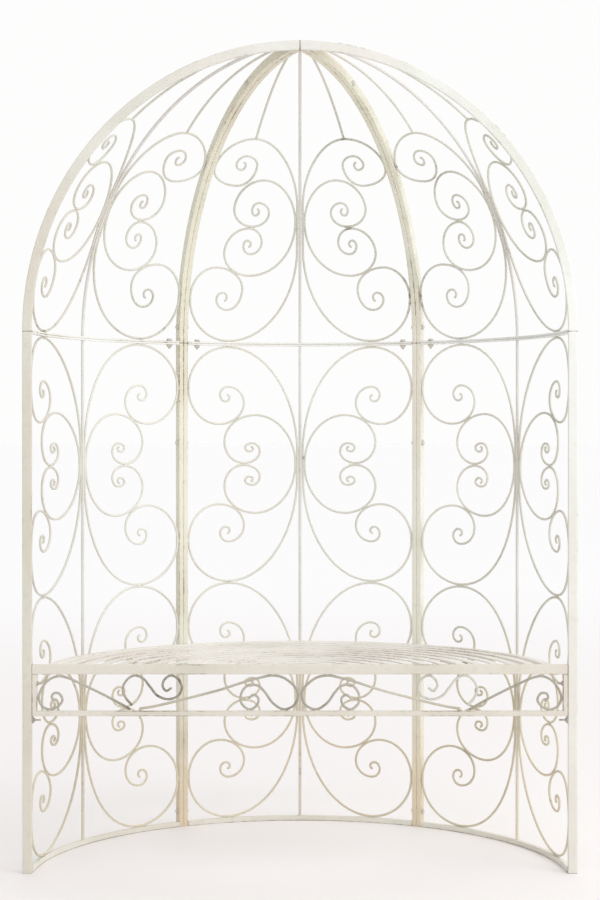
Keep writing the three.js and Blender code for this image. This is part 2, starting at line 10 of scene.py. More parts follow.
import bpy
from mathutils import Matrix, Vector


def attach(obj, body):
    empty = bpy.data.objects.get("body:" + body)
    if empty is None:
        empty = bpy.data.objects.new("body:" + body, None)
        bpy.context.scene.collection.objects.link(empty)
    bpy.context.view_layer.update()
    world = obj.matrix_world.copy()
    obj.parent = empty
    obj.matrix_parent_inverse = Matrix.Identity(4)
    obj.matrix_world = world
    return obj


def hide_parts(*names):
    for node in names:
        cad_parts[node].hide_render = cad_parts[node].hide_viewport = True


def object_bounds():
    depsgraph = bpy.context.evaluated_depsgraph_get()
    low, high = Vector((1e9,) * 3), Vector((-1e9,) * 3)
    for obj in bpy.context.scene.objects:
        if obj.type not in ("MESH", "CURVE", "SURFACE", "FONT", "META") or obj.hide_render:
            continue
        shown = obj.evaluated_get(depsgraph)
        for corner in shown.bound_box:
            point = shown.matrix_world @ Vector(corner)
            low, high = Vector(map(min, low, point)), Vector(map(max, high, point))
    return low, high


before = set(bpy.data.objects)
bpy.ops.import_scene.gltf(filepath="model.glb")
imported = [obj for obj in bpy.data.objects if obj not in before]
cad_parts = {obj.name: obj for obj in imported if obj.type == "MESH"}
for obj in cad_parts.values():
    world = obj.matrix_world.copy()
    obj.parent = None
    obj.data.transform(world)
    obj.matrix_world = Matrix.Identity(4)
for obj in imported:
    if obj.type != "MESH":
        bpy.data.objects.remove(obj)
cad_low, cad_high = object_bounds()
print("solids:", len(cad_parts), "from", tuple(cad_low), "to", tuple(cad_high))

# %% [markdown]
# ## Sizes
#
# All lengths are metres. The overall ones are read from the packed solids, so that the surfaces follow
# them, and the others repeat the solids' own values. The arbor's upright axis lies in the front plane,
# so the plan is a true half circle, and the dome above it is a quarter turn of the same circle.

# %% Overall sizes
import math

import bpy
import numpy as np

axis_y = cad_low.y
outer_radius = cad_high.x
crown = cad_high.z
dome_rise = 0.680
spring = crown - dome_rise
rib_angle = math.radians(29.1)
panels = {
    "left": (-math.pi / 2, -rib_angle),
    "middle": (-rib_angle, rib_angle),
    "right": (rib_angle, math.pi / 2),
}
print("spring line at", round(spring, 3), "crown at", round(crown, 3))

# %% Bars, rods and wire
fit = 0.0003
stile_deep = 0.022
stile_wide = 0.0125
stile_radius = outer_radius - stile_deep / 2
stile_rise = dome_rise - stile_deep / 2
stile_inset = stile_wide + fit / 2
leg_inner = outer_radius - stile_deep
rod_thick = 0.008
wire_thick = 0.006
grille_radius = leg_inner + rod_thick / 2
grille_rise = dome_rise - rod_thick / 2
bottom_deep, bottom_tall = 0.012, 0.013
ring_deep, ring_tall = 0.012, 0.005
top_rail_low = spring - ring_tall
foot_rail_top = spring + ring_tall
scroll_joint = (bottom_tall + top_rail_low) / 2
weld_sink = 0.0012
print("grille radius", round(grille_radius, 4), "rails meet at", round(spring, 3))

# %% [markdown]
# ## Camera
#
# The eye is a little over a metre up and four and a half metres in front of the open side, behind a
# longish lens: the legs stand almost upright and the ring is seen from just below.

# %% Camera
camera_back, camera_up, dip_degrees = 4.467, 1.0165, 0.312
scene = bpy.context.scene
scene.view_settings.view_transform = "Standard"
lens = bpy.data.cameras.new("camera")
lens.sensor_fit = "VERTICAL"
lens.sensor_height = 36
lens.lens = 76.4
camera = bpy.data.objects.new("camera", lens)
camera.location = (0, axis_y - camera_back, camera_up)
camera.rotation_euler = (math.radians(90 - dip_degrees), 0, 0)
scene.collection.objects.link(camera)
scene.camera = camera
print("camera at", tuple(camera.location))

# %% [markdown]
# ## Networks of shader nodes
#
# Floor, sky and paint are all small networks of nodes. One class adds the few kinds that they need. Any
# input may be a number, a colour or another node's output, so a sum can be written as a plain call.

# %% Shader nodes
class Network:
    """The nodes of one material or sky, with a short way to add each kind."""

    def __init__(self, owner):
        owner.use_nodes = True
        self.tree = owner.node_tree
        self.place = self.node("TexCoord")

    def node(self, kind, **settings):
        """A new node with its settings."""
        one = self.tree.nodes.new("ShaderNode" + kind)
        for key, value in settings.items():
            setattr(one, key, value)
        return one

    def plug(self, value, socket):
        """A number, a colour or another node's output goes into a socket."""
        if isinstance(value, bpy.types.NodeSocket):
            self.tree.links.new(value, socket)
        elif socket.type == "RGBA":
            socket.default_value = (*value, 1)
        else:
            socket.default_value = value

    def fill(self, one, values, sockets, output):
        """Plugs values into a node's sockets and returns one of its outputs."""
        for value, socket in zip(values, sockets):
            self.plug(value, one.inputs[socket])
        return one.outputs[output]

    def remap(self, value, low, high, to_low=0.0, to_high=1.0):
        """A smooth step: low becomes to_low, and high becomes to_high."""
        one = self.node("MapRange", interpolation_type="SMOOTHSTEP")
        return self.fill(one, (value, low, high, to_low, to_high), range(5), "Result")

    def weigh(self, first, weight, second):
        """First * weight + second."""
        one = self.node("Math", operation="MULTIPLY_ADD")
        return self.fill(one, (first, weight, second), range(3), "Value")

    def mix(self, factor, first, second, blend="MIX"):
        """From the first colour to the second, or the first multiplied by the second."""
        one = self.node("Mix", data_type="RGBA", blend_type=blend)
        return self.fill(one, (factor, first, second), (0, 6, 7), 2)

    def noise(self, scale, detail, squeeze=None):
        """Noise over Object coordinates, drawn out along an axis where the squeeze is under 1."""
        place = self.place.outputs["Object"]
        if squeeze:
            place = self.fill(self.node("Mapping"), (place, squeeze), ("Vector", "Scale"), "Vector")
        one = self.node("TexNoise")
        return self.fill(one, (place, scale, detail), ("Vector", "Scale", "Detail"), "Fac")

    def parts(self, output):
        """The x, y and z of the place or of the direction."""
        one = self.node("SeparateXYZ")
        self.plug(self.place.outputs[output], one.inputs["Vector"])
        return one.outputs


print("a network can", ", ".join(word for word in vars(Network) if word[0] != "_"))

# %% [markdown]
# ## Floor and light
#
# The floor is pale and plain: a shade darker near the arbor than far off. Under the seat it is paler
# again, and that paler patch is painted light, which lifts the shadow that the seat casts there. Light
# comes from all round, but bars look flat in perfectly even light. So the sky is brighter overhead and in
# front, dimmer high up on the left, and one large soft lamp stands at the right: every bar gets a lighter
# and a darker side.

# %% Floor
floor_reach = 400.0
floor_mesh = bpy.data.meshes.new("floor")
floor_corners = [(floor_reach * x, floor_reach * y, 0) for x, y in [(-1, -1), (1, -1), (1, 1), (-1, 1)]]
floor_mesh.from_pydata(floor_corners, [], [(0, 1, 2, 3)])
floor = bpy.data.objects.new("floor", floor_mesh)
scene.collection.objects.link(floor)
pale_floor = bpy.data.materials.new("pale_floor")
floor_mesh.materials.append(pale_floor)

# painted light: the floor is paler round this point under the seat, to lift the seat's shadow
painted_light_centre = (-0.1, 0.08, 0)
net = Network(pale_floor)
floor_place = net.place.outputs["Object"]
far, near = net.node("VectorMath", operation="LENGTH"), net.node("VectorMath", operation="DISTANCE")
from_middle = net.fill(far, (floor_place,), (0,), "Value")
from_painted_light = net.fill(near, (floor_place, painted_light_centre), (0, 1), "Value")
# within about half a metre of that point the near tone goes over to a paler one: painted light
near_tone_and_painted_light = net.mix(net.remap(from_painted_light, 0.3, 0.66), (0.94, 0.91, 0.91), (0.865, 0.835, 0.83))
floor_tone = net.mix(net.remap(from_middle, 0.8, 9.0), near_tone_and_painted_light, (0.95, 0.945, 0.95))
floor_shader = net.tree.nodes["Principled BSDF"]
floor_shader.inputs["Roughness"].default_value = 0.65
net.plug(floor_tone, floor_shader.inputs["Base Color"])
print("floor nodes:", len(net.tree.nodes))

# %% Sky
sky = bpy.data.worlds.new("white_studio")
scene.world = sky
net = Network(sky)
to_right, to_back, upwards = net.parts("Generated")
in_front = net.remap(to_back, -0.8, 0.1, 1.09, 0.985)
overhead = net.remap(upwards, 0.3, 1.0, 1.0, 1.35)
high_left = net.weigh(net.remap(to_right, -0.8, -0.15, 1.0, 0.0), net.remap(upwards, 0.1, 0.4), 0.0)
glow = net.weigh(net.weigh(in_front, overhead, 0.0), net.weigh(high_left, -0.85, 1.0), 0.0)
background = net.tree.nodes["Background"]
background.inputs["Color"].default_value = (1.0, 0.998, 0.996, 1)
net.plug(glow, background.inputs["Strength"])
print("sky nodes:", len(net.tree.nodes))

# %% Lamp
lamp_place, lamp_aim = (4.2, -2.9, 3.0), (0, 0, 0.9)
lamp = bpy.data.lights.new("window", "AREA")
lamp.size = 2.8
lamp.energy = 70
holder = bpy.data.objects.new("window", lamp)
holder.location = lamp_place
towards = np.subtract(lamp_aim, lamp_place)
flat = math.hypot(towards[0], towards[1])
holder.rotation_euler = (math.atan2(flat, -towards[2]), 0, math.atan2(-towards[0], towards[1]))
scene.collection.objects.link(holder)
print("lamp at", lamp_place, "shines at", lamp_aim)

# %% [markdown]
# ## From arrays to a mesh
#
# Every piece below is first a bundle of arrays: points, four-cornered faces, three-cornered faces, and
# two numbers for each point. Edge says how exposed it is to rubbing, 1 on a sharp edge and 0 in the
# middle of a flat side, and grime is 1 in the seam at the end of a tube. Bundles are joined by shifting
# their face numbers. Everything here is rings of points one behind the other, so one function gives the
# faces of them all. Keeping whole arrays until the end means no loop ever runs over single points, and
# one function puts them into Blender.

# %% Bundles of arrays
def join(bundles):
    """Puts bundles one after another: each one's face numbers grow by the points that came before it."""
    counts = np.cumsum([0] + [len(b["points"]) for b in bundles])
    return {
        "points": np.concatenate([b["points"] for b in bundles]),
        "quads": np.concatenate([b["quads"] + n for b, n in zip(bundles, counts)]),
        "triangles": np.concatenate([b["triangles"] + n for b, n in zip(bundles, counts)]),
        "edge": np.concatenate([b["edge"] for b in bundles]),
        "grime": np.concatenate([b["grime"] for b in bundles]),
    }


def ring_faces(count, around):
    """Quads between rings of points, and a fan at each end to one more point; these two come last."""
    number = np.arange(count * around).reshape(count, around)
    beside = np.roll(number, -1, axis=1)
    quads = np.stack([number[:-1], beside[:-1], beside[1:], number[1:]], axis=-1).reshape(-1, 4)
    near = np.stack([beside[0], number[0], np.full(around, count * around)], axis=-1)
    far = np.stack([number[-1], beside[-1], np.full(around, count * around + 1)], axis=-1)
    return quads, np.concatenate([near, far])


made = {}


def add_piece(name, bundle, paint, nodes, smooth_degrees=38):
    """Puts a bundle into a mesh object that rides on the root body and stands for the named solids."""
    mesh = bpy.data.meshes.new(name)
    mesh.vertices.add(len(bundle["points"]))
    mesh.vertices.foreach_set("co", bundle["points"].astype(np.float32).ravel())
    quads, triangles = bundle["quads"], bundle["triangles"]
    corners = np.concatenate([quads.ravel(), triangles.ravel()]).astype(np.int32)
    starts = np.concatenate(
        [4 * np.arange(len(quads)), quads.size + 3 * np.arange(len(triangles))]
    ).astype(np.int32)
    mesh.loops.add(len(corners))
    mesh.loops.foreach_set("vertex_index", corners)
    mesh.polygons.add(len(starts))
    mesh.polygons.foreach_set("loop_start", starts)
    mesh.polygons.foreach_set("use_smooth", np.ones(len(starts), bool))
    mesh.update(calc_edges=True)
    mesh.validate()
    mesh.set_sharp_from_angle(angle=math.radians(smooth_degrees))
    for number in ("edge", "grime"):
        layer = mesh.attributes.new(number, "FLOAT", "POINT")
        layer.data.foreach_set("value", bundle[number].astype(np.float32))
    piece = bpy.data.objects.new(name, mesh)
    scene.collection.objects.link(piece)
    mesh.materials.append(paints[paint])
    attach(piece, "root")
    if nodes:
        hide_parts(*nodes)
    made[name] = piece


print("a tube of 3 rings of 12 points has", len(ring_faces(3, 12)[0]), "quads")

# %% [markdown]
# ## A profile carried along a path
#
# Nearly everything here is a bar, a rod or a wire, so one function makes them all. A path is a row of
# points, and at each point two directions are known: the heading, along the path, and outward, which is
# square to the wall or the dome. Their cross product points aside. A profile point (x, y) then lands at
# the path point plus x times outward plus y times aside. Because outward comes from the surface that the
# wire lies on, the profile never twists, which a bevelled curve object would have to be coaxed into.

# %% Carry a profile along a path
def unit(v):
    """Each row divided by its length."""
    return v / np.linalg.norm(v, axis=-1, keepdims=True)


def padded(rows, count):
    """The same rows, with the first and the last one each repeated so many times more."""
    return np.concatenate([rows[[0] * count], rows, rows[[-1] * count]])


def carry(path, outward, profile, edge, heading=None, tip=0.0, bevel=0.0):
    """Rings of profile points along a path, joined by quads and closed by a fan at each end.

    Point = path + swell * (x * outward + y * aside), with aside = heading x outward. With a tip, three
    more rings at each end follow a quarter circle of that radius, so the end is round like a worn wire.
    With a bevel, two more rings stand once and twice that far from each end, and the end ring is drawn
    in a little. Two numbers give the first and the last end a bevel of their own.
    """
    heading = unit(np.gradient(path, axis=0) if heading is None else heading)
    outward = unit(outward - (outward * heading).sum(-1, keepdims=True) * heading)
    swell = np.ones(len(path))
    grime = np.zeros(len(path))
    first, last = path[0], path[-1]
    if np.any(bevel):
        drawn_in = 0.94
        near_bevel, far_bevel = np.broadcast_to(bevel, 2)
        near = path[0] + near_bevel * np.array([[0], [1], [2]]) * heading[0]
        far = path[-1] - far_bevel * np.array([[2], [1], [0]]) * heading[-1]
        path = np.concatenate([near, path[1:-1], far])
        swell = np.concatenate([[drawn_in, 1, 1], swell[1:-1], [1, 1, drawn_in]])
        grime = np.concatenate([[1, 0.8, 0], grime[1:-1], [0, 0.8, 1]])
        heading, outward = padded(heading, 2), padded(outward, 2)
    if tip:
        turn = np.radians([75, 50, 25])
        back = path[0] - tip * np.sin(turn)[:, None] * heading[0]
        fore = path[-1] + tip * np.sin(turn[::-1])[:, None] * heading[-1]
        first = path[0] - tip * heading[0]
        last = path[-1] + tip * heading[-1]
        path = np.concatenate([back, path, fore])
        swell = np.concatenate([np.cos(turn), swell, np.cos(turn[::-1])])
        grime = np.zeros(len(path))
        heading, outward = padded(heading, 3), padded(outward, 3)
    aside = np.cross(heading, outward)
    across = profile[None, :, :1] * outward[:, None] + profile[None, :, 1:] * aside[:, None]
    rings = path[:, None] + swell[:, None, None] * across
    count, around = rings.shape[:2]
    quads, fans = ring_faces(count, around)
    return {
        "points": np.concatenate([rings.reshape(-1, 3), [first, last]]),
        "quads": quads,
        "triangles": fans,
        "edge": np.concatenate([np.tile(edge, count), [edge.mean()] * 2]),
        "grime": np.concatenate([np.repeat(grime, around), grime[[0, -1]]]),
    }


# %% [markdown]
# ## Profiles
#
# Square tube has small round corners, and paint is rubbed off there first. So the bar's profile has four
# short arcs, and a pair of points just inside each arc where the exposure falls to nothing. Wire and rod
# are plain circles with the same middling exposure all round.

# %% Bar and round profiles
def bar_profile(deep, wide, corner=0.0018):
    """A rectangle with rounded corners, anticlockwise, x outward and y aside, and its exposure."""
    turn = np.radians([0, 0, 30, 60, 90, 90])
    shift = corner * np.array([-0.8, 0, 0, 0, 0, 0.8])
    exposed = np.array([0, 0.75, 1, 1, 0.75, 0])
    x = corner * np.cos(turn) + np.minimum(-shift, 0)
    y = corner * np.sin(turn) + np.minimum(shift, 0)
    quarter = np.stack([x, y], axis=-1)
    points = []
    for k in range(4):
        c, s = round(math.cos(k * math.pi / 2)), round(math.sin(k * math.pi / 2))
        turned = quarter @ np.array([[c, s], [-s, c]])
        sign_x, sign_y = [(1, 1), (-1, 1), (-1, -1), (1, -1)][k]
        points.append(turned + [sign_x * (deep / 2 - corner), sign_y * (wide / 2 - corner)])
    return np.concatenate(points), np.tile(exposed, 4)


def round_profile(thick, sides=12, exposed=0.35):
    """A circle, anticlockwise, and its exposure."""
    turn = 2 * math.pi * np.arange(sides) / sides
    return thick / 2 * np.stack([np.cos(turn), np.sin(turn)], axis=-1), np.full(sides, exposed)


wire = round_profile(wire_thick, 10)
rod = round_profile(rod_thick, 14)
stile_bar = bar_profile(stile_deep, stile_wide)
print("profile points: wire", len(wire[0]), "rod", len(rod[0]), "bar", len(stile_bar[0]))

# %% [markdown]
# ## Antique cream paint
#
# The real finish is a warm off-white sprayed over steel and then rubbed back by hand, so the tone drifts
# softly from cream to greenish grey and here and there to a faint pink, edges and weld spots show
# brown-grey, and thin wires more so than broad tubes. One function builds the whole family of paints. It
# mixes the creams by large noises, and lets a mask of exposure, stain and fine noise decide where the
# paint is gone. All patterns read Object coordinates, in metres, so they sit on the metal from any side.

# %% The paint's shader
def antique_paint(name, cream, shade, bare, rubbed, fades=(), edge_wear=0.34, roughness=0.48):
    """Cream drifting to shade, worn to bare metal tone where exposure + stain + noise pass a level.

    Each fade holds (a, b, c), two tints and a drop: the paint is multiplied by a tint that goes from the
    first to the second while a * x + b * z + c goes from 0 to 1, and the wear sinks by the drop.
    """
    material = bpy.data.materials.new(name)
    net = Network(material)
    numbers = [net.node("Attribute", attribute_name=key) for key in ("edge", "stain", "grime")]
    edge, stain, grime = [number.outputs["Fac"] for number in numbers]
    drift, blush = net.noise(5.0, 3.0), net.noise(2.6, 2.0)
    mottle, specks = net.noise(70.0, 4.0), net.noise(420.0, 3.0)
    streaks = net.noise(160.0, 3.0, (1.0, 1.0, 0.12))

    pink = tuple(c * k for c, k in zip(cream, (0.965, 0.92, 0.905)))
    bloom = tuple(min(1.06 * c, 1.0) for c in cream)
    tone = net.mix(net.remap(drift, 0.38, 0.66), cream, shade)
    tone = net.mix(net.remap(blush, 0.48, 0.64, 0.0, 0.65), tone, pink)
    tone = net.mix(net.remap(mottle, 0.5, 0.75, 0.0, 0.4), tone, tuple(0.93 * c for c in shade))
    tone = net.mix(net.remap(streaks, 0.55, 0.8, 0.0, 0.35), tone, bloom)

    unworn = 1.345
    level = rubbed - unworn
    for pattern, weight in [(stain, 0.45), (drift, 0.95), (mottle, 0.6), (edge, edge_wear)]:
        level = net.weigh(pattern, weight, level)
    level = net.weigh(specks, 0.22, net.weigh(grime, 0.7, level))
    x, _, z = net.parts("Object")
    for (per_x, per_z, start), low_tint, high_tint, drop in fades:
        faded = net.remap(net.weigh(x, per_x, net.weigh(z, per_z, start)), 0.0, 1.0)
        tone = net.mix(1.0, tone, net.mix(faded, low_tint, high_tint), blend="MULTIPLY")
        level = net.weigh(faded, -drop, level)

    worn = net.remap(level, -0.02, 0.2)
    dirt = tuple(0.6 * a + 0.4 * b for a, b in zip(shade, bare))
    tone = net.mix(net.remap(stain, 0.1, 1.0, 0.0, 0.5), tone, dirt)
    shader = net.tree.nodes["Principled BSDF"]
    net.plug(net.mix(worn, tone, bare), shader.inputs["Base Color"])
    net.plug(net.remap(worn, 0.0, 1.0, roughness, 0.72), shader.inputs["Roughness"])
    shader.inputs["Specular IOR Level"].default_value = 0.4

    bump = net.node("Bump")
    bump.inputs["Strength"].default_value = 0.22
    bump.inputs["Distance"].default_value = 0.0008
    height = net.weigh(mottle, 0.5, net.weigh(specks, 0.25, net.weigh(worn, -0.6, 0.0)))
    net.plug(height, bump.inputs["Height"])
    net.plug(bump.outputs["Normal"], shader.inputs["Normal"])
    return material


# %% [markdown]
# ## The family of paints
#
# Each row is a name, the cream, its shade, the bare tone and how far it is rubbed. Some rows fade by
# place. The front tubes grow paler upwards and to the right, and less worn there: that is painted light,
# the right of the front lit more brightly. The ribs are yellower up on the left and browner near the
# ground, the wall's wires are darker low on the right and warmer near the ground, and the apron's long
# wires are paler outwards. The ribs' paint is brighter than the tubes', which is painted light, and the
# dome's wire paint is darker than the wall's, which is painted shade.

# %% Paints
plain = (1.0, 1.0, 1.0)
# painted light: a tint from darker at the lower left to paler at the upper right, for the front tubes
painted_light_up_right = ((0.5, 0.27, 0.2), (0.895, 0.88, 0.84), (1.13, 1.165, 1.24), 0.12)
rib_fade = ((1.5, -0.8, 1.46), (0.925, 0.915, 0.86), (1.01, 1.015, 1.02), 0.12)
rib_foot = ((0.0, 2.5, -0.125), (0.93, 0.83, 0.71), plain, 0.0)
low_right = ((-2.6, 1.64, 0.5), (0.84, 0.83, 0.80), plain, 0.12)
near_ground = ((0.0, 6.0, -2.3), (1.02, 0.965, 0.86), plain, 0.0)
outwards_left = ((-6.0, 0.0, -0.6), plain, (1.5, 1.5, 1.48), 0.12)
outwards_right = ((6.0, 0.0, -0.6), plain, (1.5, 1.5, 1.48), 0.12)
rib_fades, wall_fades = [rib_fade, rib_foot], [low_right, near_ground]
dark_wire = ((0.46, 0.435, 0.37), (0.32, 0.295, 0.24), (0.14, 0.12, 0.09))
paint_rows = [
    # the front tubes carry the painted light of the tint above
    ("tube_cream", (0.74, 0.725, 0.655), (0.66, 0.647, 0.56), (0.33, 0.285, 0.22), 0.10, [painted_light_up_right]),
    # painted light: the ribs' cream is brighter and yellower than the tubes', as the ribs glow against
    # the bright backdrop; its heavier edge wear darkens the edges, partly rubbed paint and partly painted
    # shade in the seams between the paired stiles
    ("rib_cream", (0.825, 0.81, 0.715), (0.71, 0.695, 0.585), (0.40, 0.36, 0.26), 0.05, rib_fades, 0.45),
    ("rail_cream", (0.80, 0.785, 0.71), (0.72, 0.705, 0.625), (0.36, 0.325, 0.26), 0.03),
    ("ring_cream", (0.83, 0.84, 0.80), (0.76, 0.765, 0.72), (0.36, 0.335, 0.28), 0.03),
    ("bench_cream", (0.71, 0.67, 0.595), (0.64, 0.607, 0.52), (0.30, 0.245, 0.19), 0.12),
    ("seat_cream", (0.79, 0.76, 0.70), (0.70, 0.66, 0.595), (0.36, 0.30, 0.24), 0.11),
    ("rod_cream", (0.73, 0.722, 0.695), (0.65, 0.642, 0.605), (0.33, 0.30, 0.26), 0.14, [near_ground]),
    ("wall_wire", (0.755, 0.745, 0.67), (0.66, 0.65, 0.58), (0.34, 0.315, 0.25), 0.16, wall_fades),
    ("side_wire", (0.68, 0.67, 0.595), (0.57, 0.56, 0.485), (0.30, 0.275, 0.21), 0.19, [near_ground]),
    # painted shade: the dome's wire paint is darker than the wall's, for wires seen from below
    ("gore_wire", (0.70, 0.692, 0.62), (0.58, 0.574, 0.50), (0.28, 0.26, 0.20), 0.20),
    ("apron_wire", *dark_wire, 0.29),
    ("long_wire_left", *dark_wire, 0.25, [outwards_left]),
    ("long_wire_right", *dark_wire, 0.25, [outwards_right]),
    ("bolt_cream", (0.66, 0.635, 0.57), (0.54, 0.515, 0.45), (0.28, 0.25, 0.20), 0.12, (), 0.34, 0.42),
]
paints = {row[0]: antique_paint(*row) for row in paint_rows}
print("paints:", ", ".join(paints))

# %% [markdown]
# ## Places on the wall and on the dome
#
# A place on the wall is an angle from the middle of the back, a distance from the axis and a height. On
# the dome the height is given by the climb, an angle from 0 at the spring line to a quarter turn at the
# crown: the distance from the axis is the radius times its cosine and the height above the spring line
# is the rise times its sine, which is a quarter of an ellipse.

# %% Wall and dome
def outward_at(angle):
    """The level direction away from the axis."""
    angle = np.asarray(angle, float)
    return np.stack([np.sin(angle), np.cos(angle), np.zeros_like(angle)], axis=-1)


def wall_place(angle, radius, height):
    """Axis + radius * outward, at a height."""
    angle, radius, height = np.broadcast_arrays(angle, radius, height)
    place = radius[..., None] * outward_at(angle)
    place[..., 1] += axis_y
    place[..., 2] = height
    return place


def dome_place(angle, climb, radius, rise):
    """Radius * cos(climb) out and spring + rise * sin(climb) up."""
    return wall_place(angle, radius * np.cos(climb), spring + rise * np.sin(climb))


def dome_outward(angle, climb, radius, rise):
    """Square to the ellipse: rise * cos(climb) out and radius * sin(climb) up."""
    angle, climb = np.broadcast_arrays(angle, climb)
    way = (rise * np.cos(climb))[..., None] * outward_at(angle)
    way[..., 2] = radius * np.sin(climb)
    return unit(way)


def dome_heading(angle, climb, radius, rise):
    """Along the ellipse, upwards: -radius * sin(climb) out and rise * cos(climb) up."""
    angle, climb = np.broadcast_arrays(angle, climb)
    way = (-radius * np.sin(climb))[..., None] * outward_at(angle)
    way[..., 2] = rise * np.cos(climb)
    return unit(way)


def clear_angle(radius, distance):
    """How far round from the panel's edge a thing at this radius must stay to clear the stile."""
    return np.arcsin((stile_inset + distance) / radius)


quarter_arc = math.pi / 4 * (grille_radius + grille_rise)
print("a quarter of the dome is", round(quarter_arc, 3), "m long")

# %% [markdown]
# ## Stiles
#
# A stile is rectangular tube, deep across the wall and narrow along it. Each panel of the wall has two,
# upright from the floor to the spring line, and each gore of the dome has two more that stand on them
# and are rolled over to the apex. The two at the front make the legs and the front arch. The others
# stand in pairs, one on the edge of each panel, bolted face to face. The profile is carried up the wall
# or round the ellipse. The rolled pairs run past the apex in their own plane, so their last stretch is
# cut by two planes, behind the front arch and beside the other pair. The cut moves points and leaves
# the faces alone: whatever lies past a plane slides back along the stile's own level direction.

# %% Stile shapes
end_bevel, cut_bevel = 0.0009, 0.0013
near_apex = crown - 0.2


def offset_aside(path, edge_angle, offset):
    """The same path in a plane beside the panel's edge plane."""
    return path + offset * np.array([math.cos(edge_angle), -math.sin(edge_angle), 0])


def wall_stile(edge_angle, offset, steps=48):
    """Straight up from the floor to just under the spring line."""
    path = wall_place(edge_angle, stile_radius, np.linspace(0, spring - fit / 2, steps))
    outward = np.tile(outward_at(edge_angle), (steps, 1))
    return carry(offset_aside(path, edge_angle, offset), outward, *stile_bar, bevel=end_bevel)


def gore_stile(edge_angle, offset, end_climb, steps=90):
    """From just over the spring line round the ellipse."""
    climbs = np.linspace(fit / 2 / stile_rise, end_climb, steps)
    path = dome_place(edge_angle, climbs, stile_radius, stile_rise)
    outward = dome_outward(edge_angle, climbs, stile_radius, stile_rise)
    heading = dome_heading(edge_angle, climbs, stile_radius, stile_rise)
    path = offset_aside(path, edge_angle, offset)
    return carry(path, outward, *stile_bar, heading=heading, bevel=(end_bevel, cut_bevel))


def cut_at_apex(bundle, edge_angle):
    """Slides every point past the apex planes back along the stile's own level direction."""
    points = bundle["points"]
    along = outward_at(edge_angle)
    front = axis_y + stile_wide + fit
    middle = math.copysign(fit / 2, edge_angle)
    near_top = points[:, 2] > near_apex
    back = np.where(near_top, np.maximum(front - points[:, 1], 0) / along[1], 0)
    beside = np.maximum((middle - points[:, 0]) * math.copysign(1, edge_angle), 0)
    back = np.maximum(back, np.where(near_top, beside / abs(along[0]), 0))
    points += back[:, None] * along


print("rings along a leg:", len(wall_stile(0.0, 0.0)["points"]) // len(stile_bar[0]))

# %% Stiles
stile_list = [
    ("left", "front_stile", -math.pi / 2, 1),
    ("left", "rib_stile", -rib_angle, -1),
    ("middle", "left_stile", -rib_angle, 1),
    ("middle", "right_stile", rib_angle, -1),
    ("right", "rib_stile", rib_angle, 1),
    ("right", "front_stile", math.pi / 2, -1),
]
for panel, stile, edge_angle, inward in stile_list:
    at_front = stile == "front_stile"
    offset = inward * (stile_wide / 2 if at_front else stile_inset - stile_wide / 2)
    upright = wall_stile(edge_angle, offset)
    end_climb = math.acos(fit / 2 / stile_radius) if at_front else math.pi / 2
    rolled = gore_stile(edge_angle, offset, end_climb)
    if not at_front:
        cut_at_apex(rolled, edge_angle)
    # the rib stiles take the paint with painted light and painted seam shade
    paint = "tube_cream" if at_front else "rib_cream"
    for part, tube in [("wall", upright), ("gore", rolled)]:
        add_piece(f"{panel}_{part}_{stile}_tube", tube, paint, [f"{panel}_{part}_{stile}"])
print("stiles:", len(made))

# %% [markdown]
# ## Rails and centre rods
#
# Each wall panel has a curved rail on the floor and a flat bar along its top, and each gore has the same
# flat bar as its foot, so that two thin rails lie on each other where wall and dome meet. All are rolled
# to the wall's circle. The bottom rail is darker underneath, where it stands on the ground: partly paint
# rubbed off there, and partly a painted contact shadow.
# A round rod stands in the middle of each panel, and another runs up the gore until its two edges leave
# it no more room. Wherever a rod or a wire is welded on, the place is noted for the beads at the end.

# %% Rail profiles
def level_arc(radius, from_angle, to_angle, height, profile, steps=56):
    """A profile carried round the axis at one height."""
    angles = np.linspace(from_angle, to_angle, steps)
    heading = np.stack([np.cos(angles), -np.sin(angles), 0 * angles], axis=-1)
    path = wall_place(angles, radius, height)
    return carry(path, outward_at(angles), *profile, heading=heading)


# the underside's extra exposure darkens it: partly rubbed paint, partly a painted contact shadow
underside_depth, underside_wear_and_shadow = 0.0016, 0.9
bottom_bar = bar_profile(bottom_deep, bottom_tall, corner=0.0014)
underside = bottom_bar[0][:, 1] < underside_depth - bottom_tall / 2
bottom_bar = (bottom_bar[0], bottom_bar[1] + underside_wear_and_shadow * underside)
ring_thick = ring_tall - fit / 2
ring_bar = bar_profile(ring_deep, ring_thick, corner=0.0012)
rail_rows = [
    ("wall_bottom_rail", bottom_tall / 2, bottom_bar, "rail_cream", "cream_paint"),
    ("wall_top_rail", top_rail_low + ring_thick / 2, ring_bar, "ring_cream", "worn_cream"),
    ("gore_foot_rail", foot_rail_top - ring_thick / 2, ring_bar, "ring_cream", "worn_cream"),
]
print("a top rail is", round(1000 * ring_thick, 2), "mm thick")

# %% Rails and rods
weld_places = []


def note_welds(places, along):
    """Keeps weld places, each with the direction in which its bead runs."""
    weld_places.append(np.concatenate([places, np.broadcast_to(along, places.shape)], axis=1))


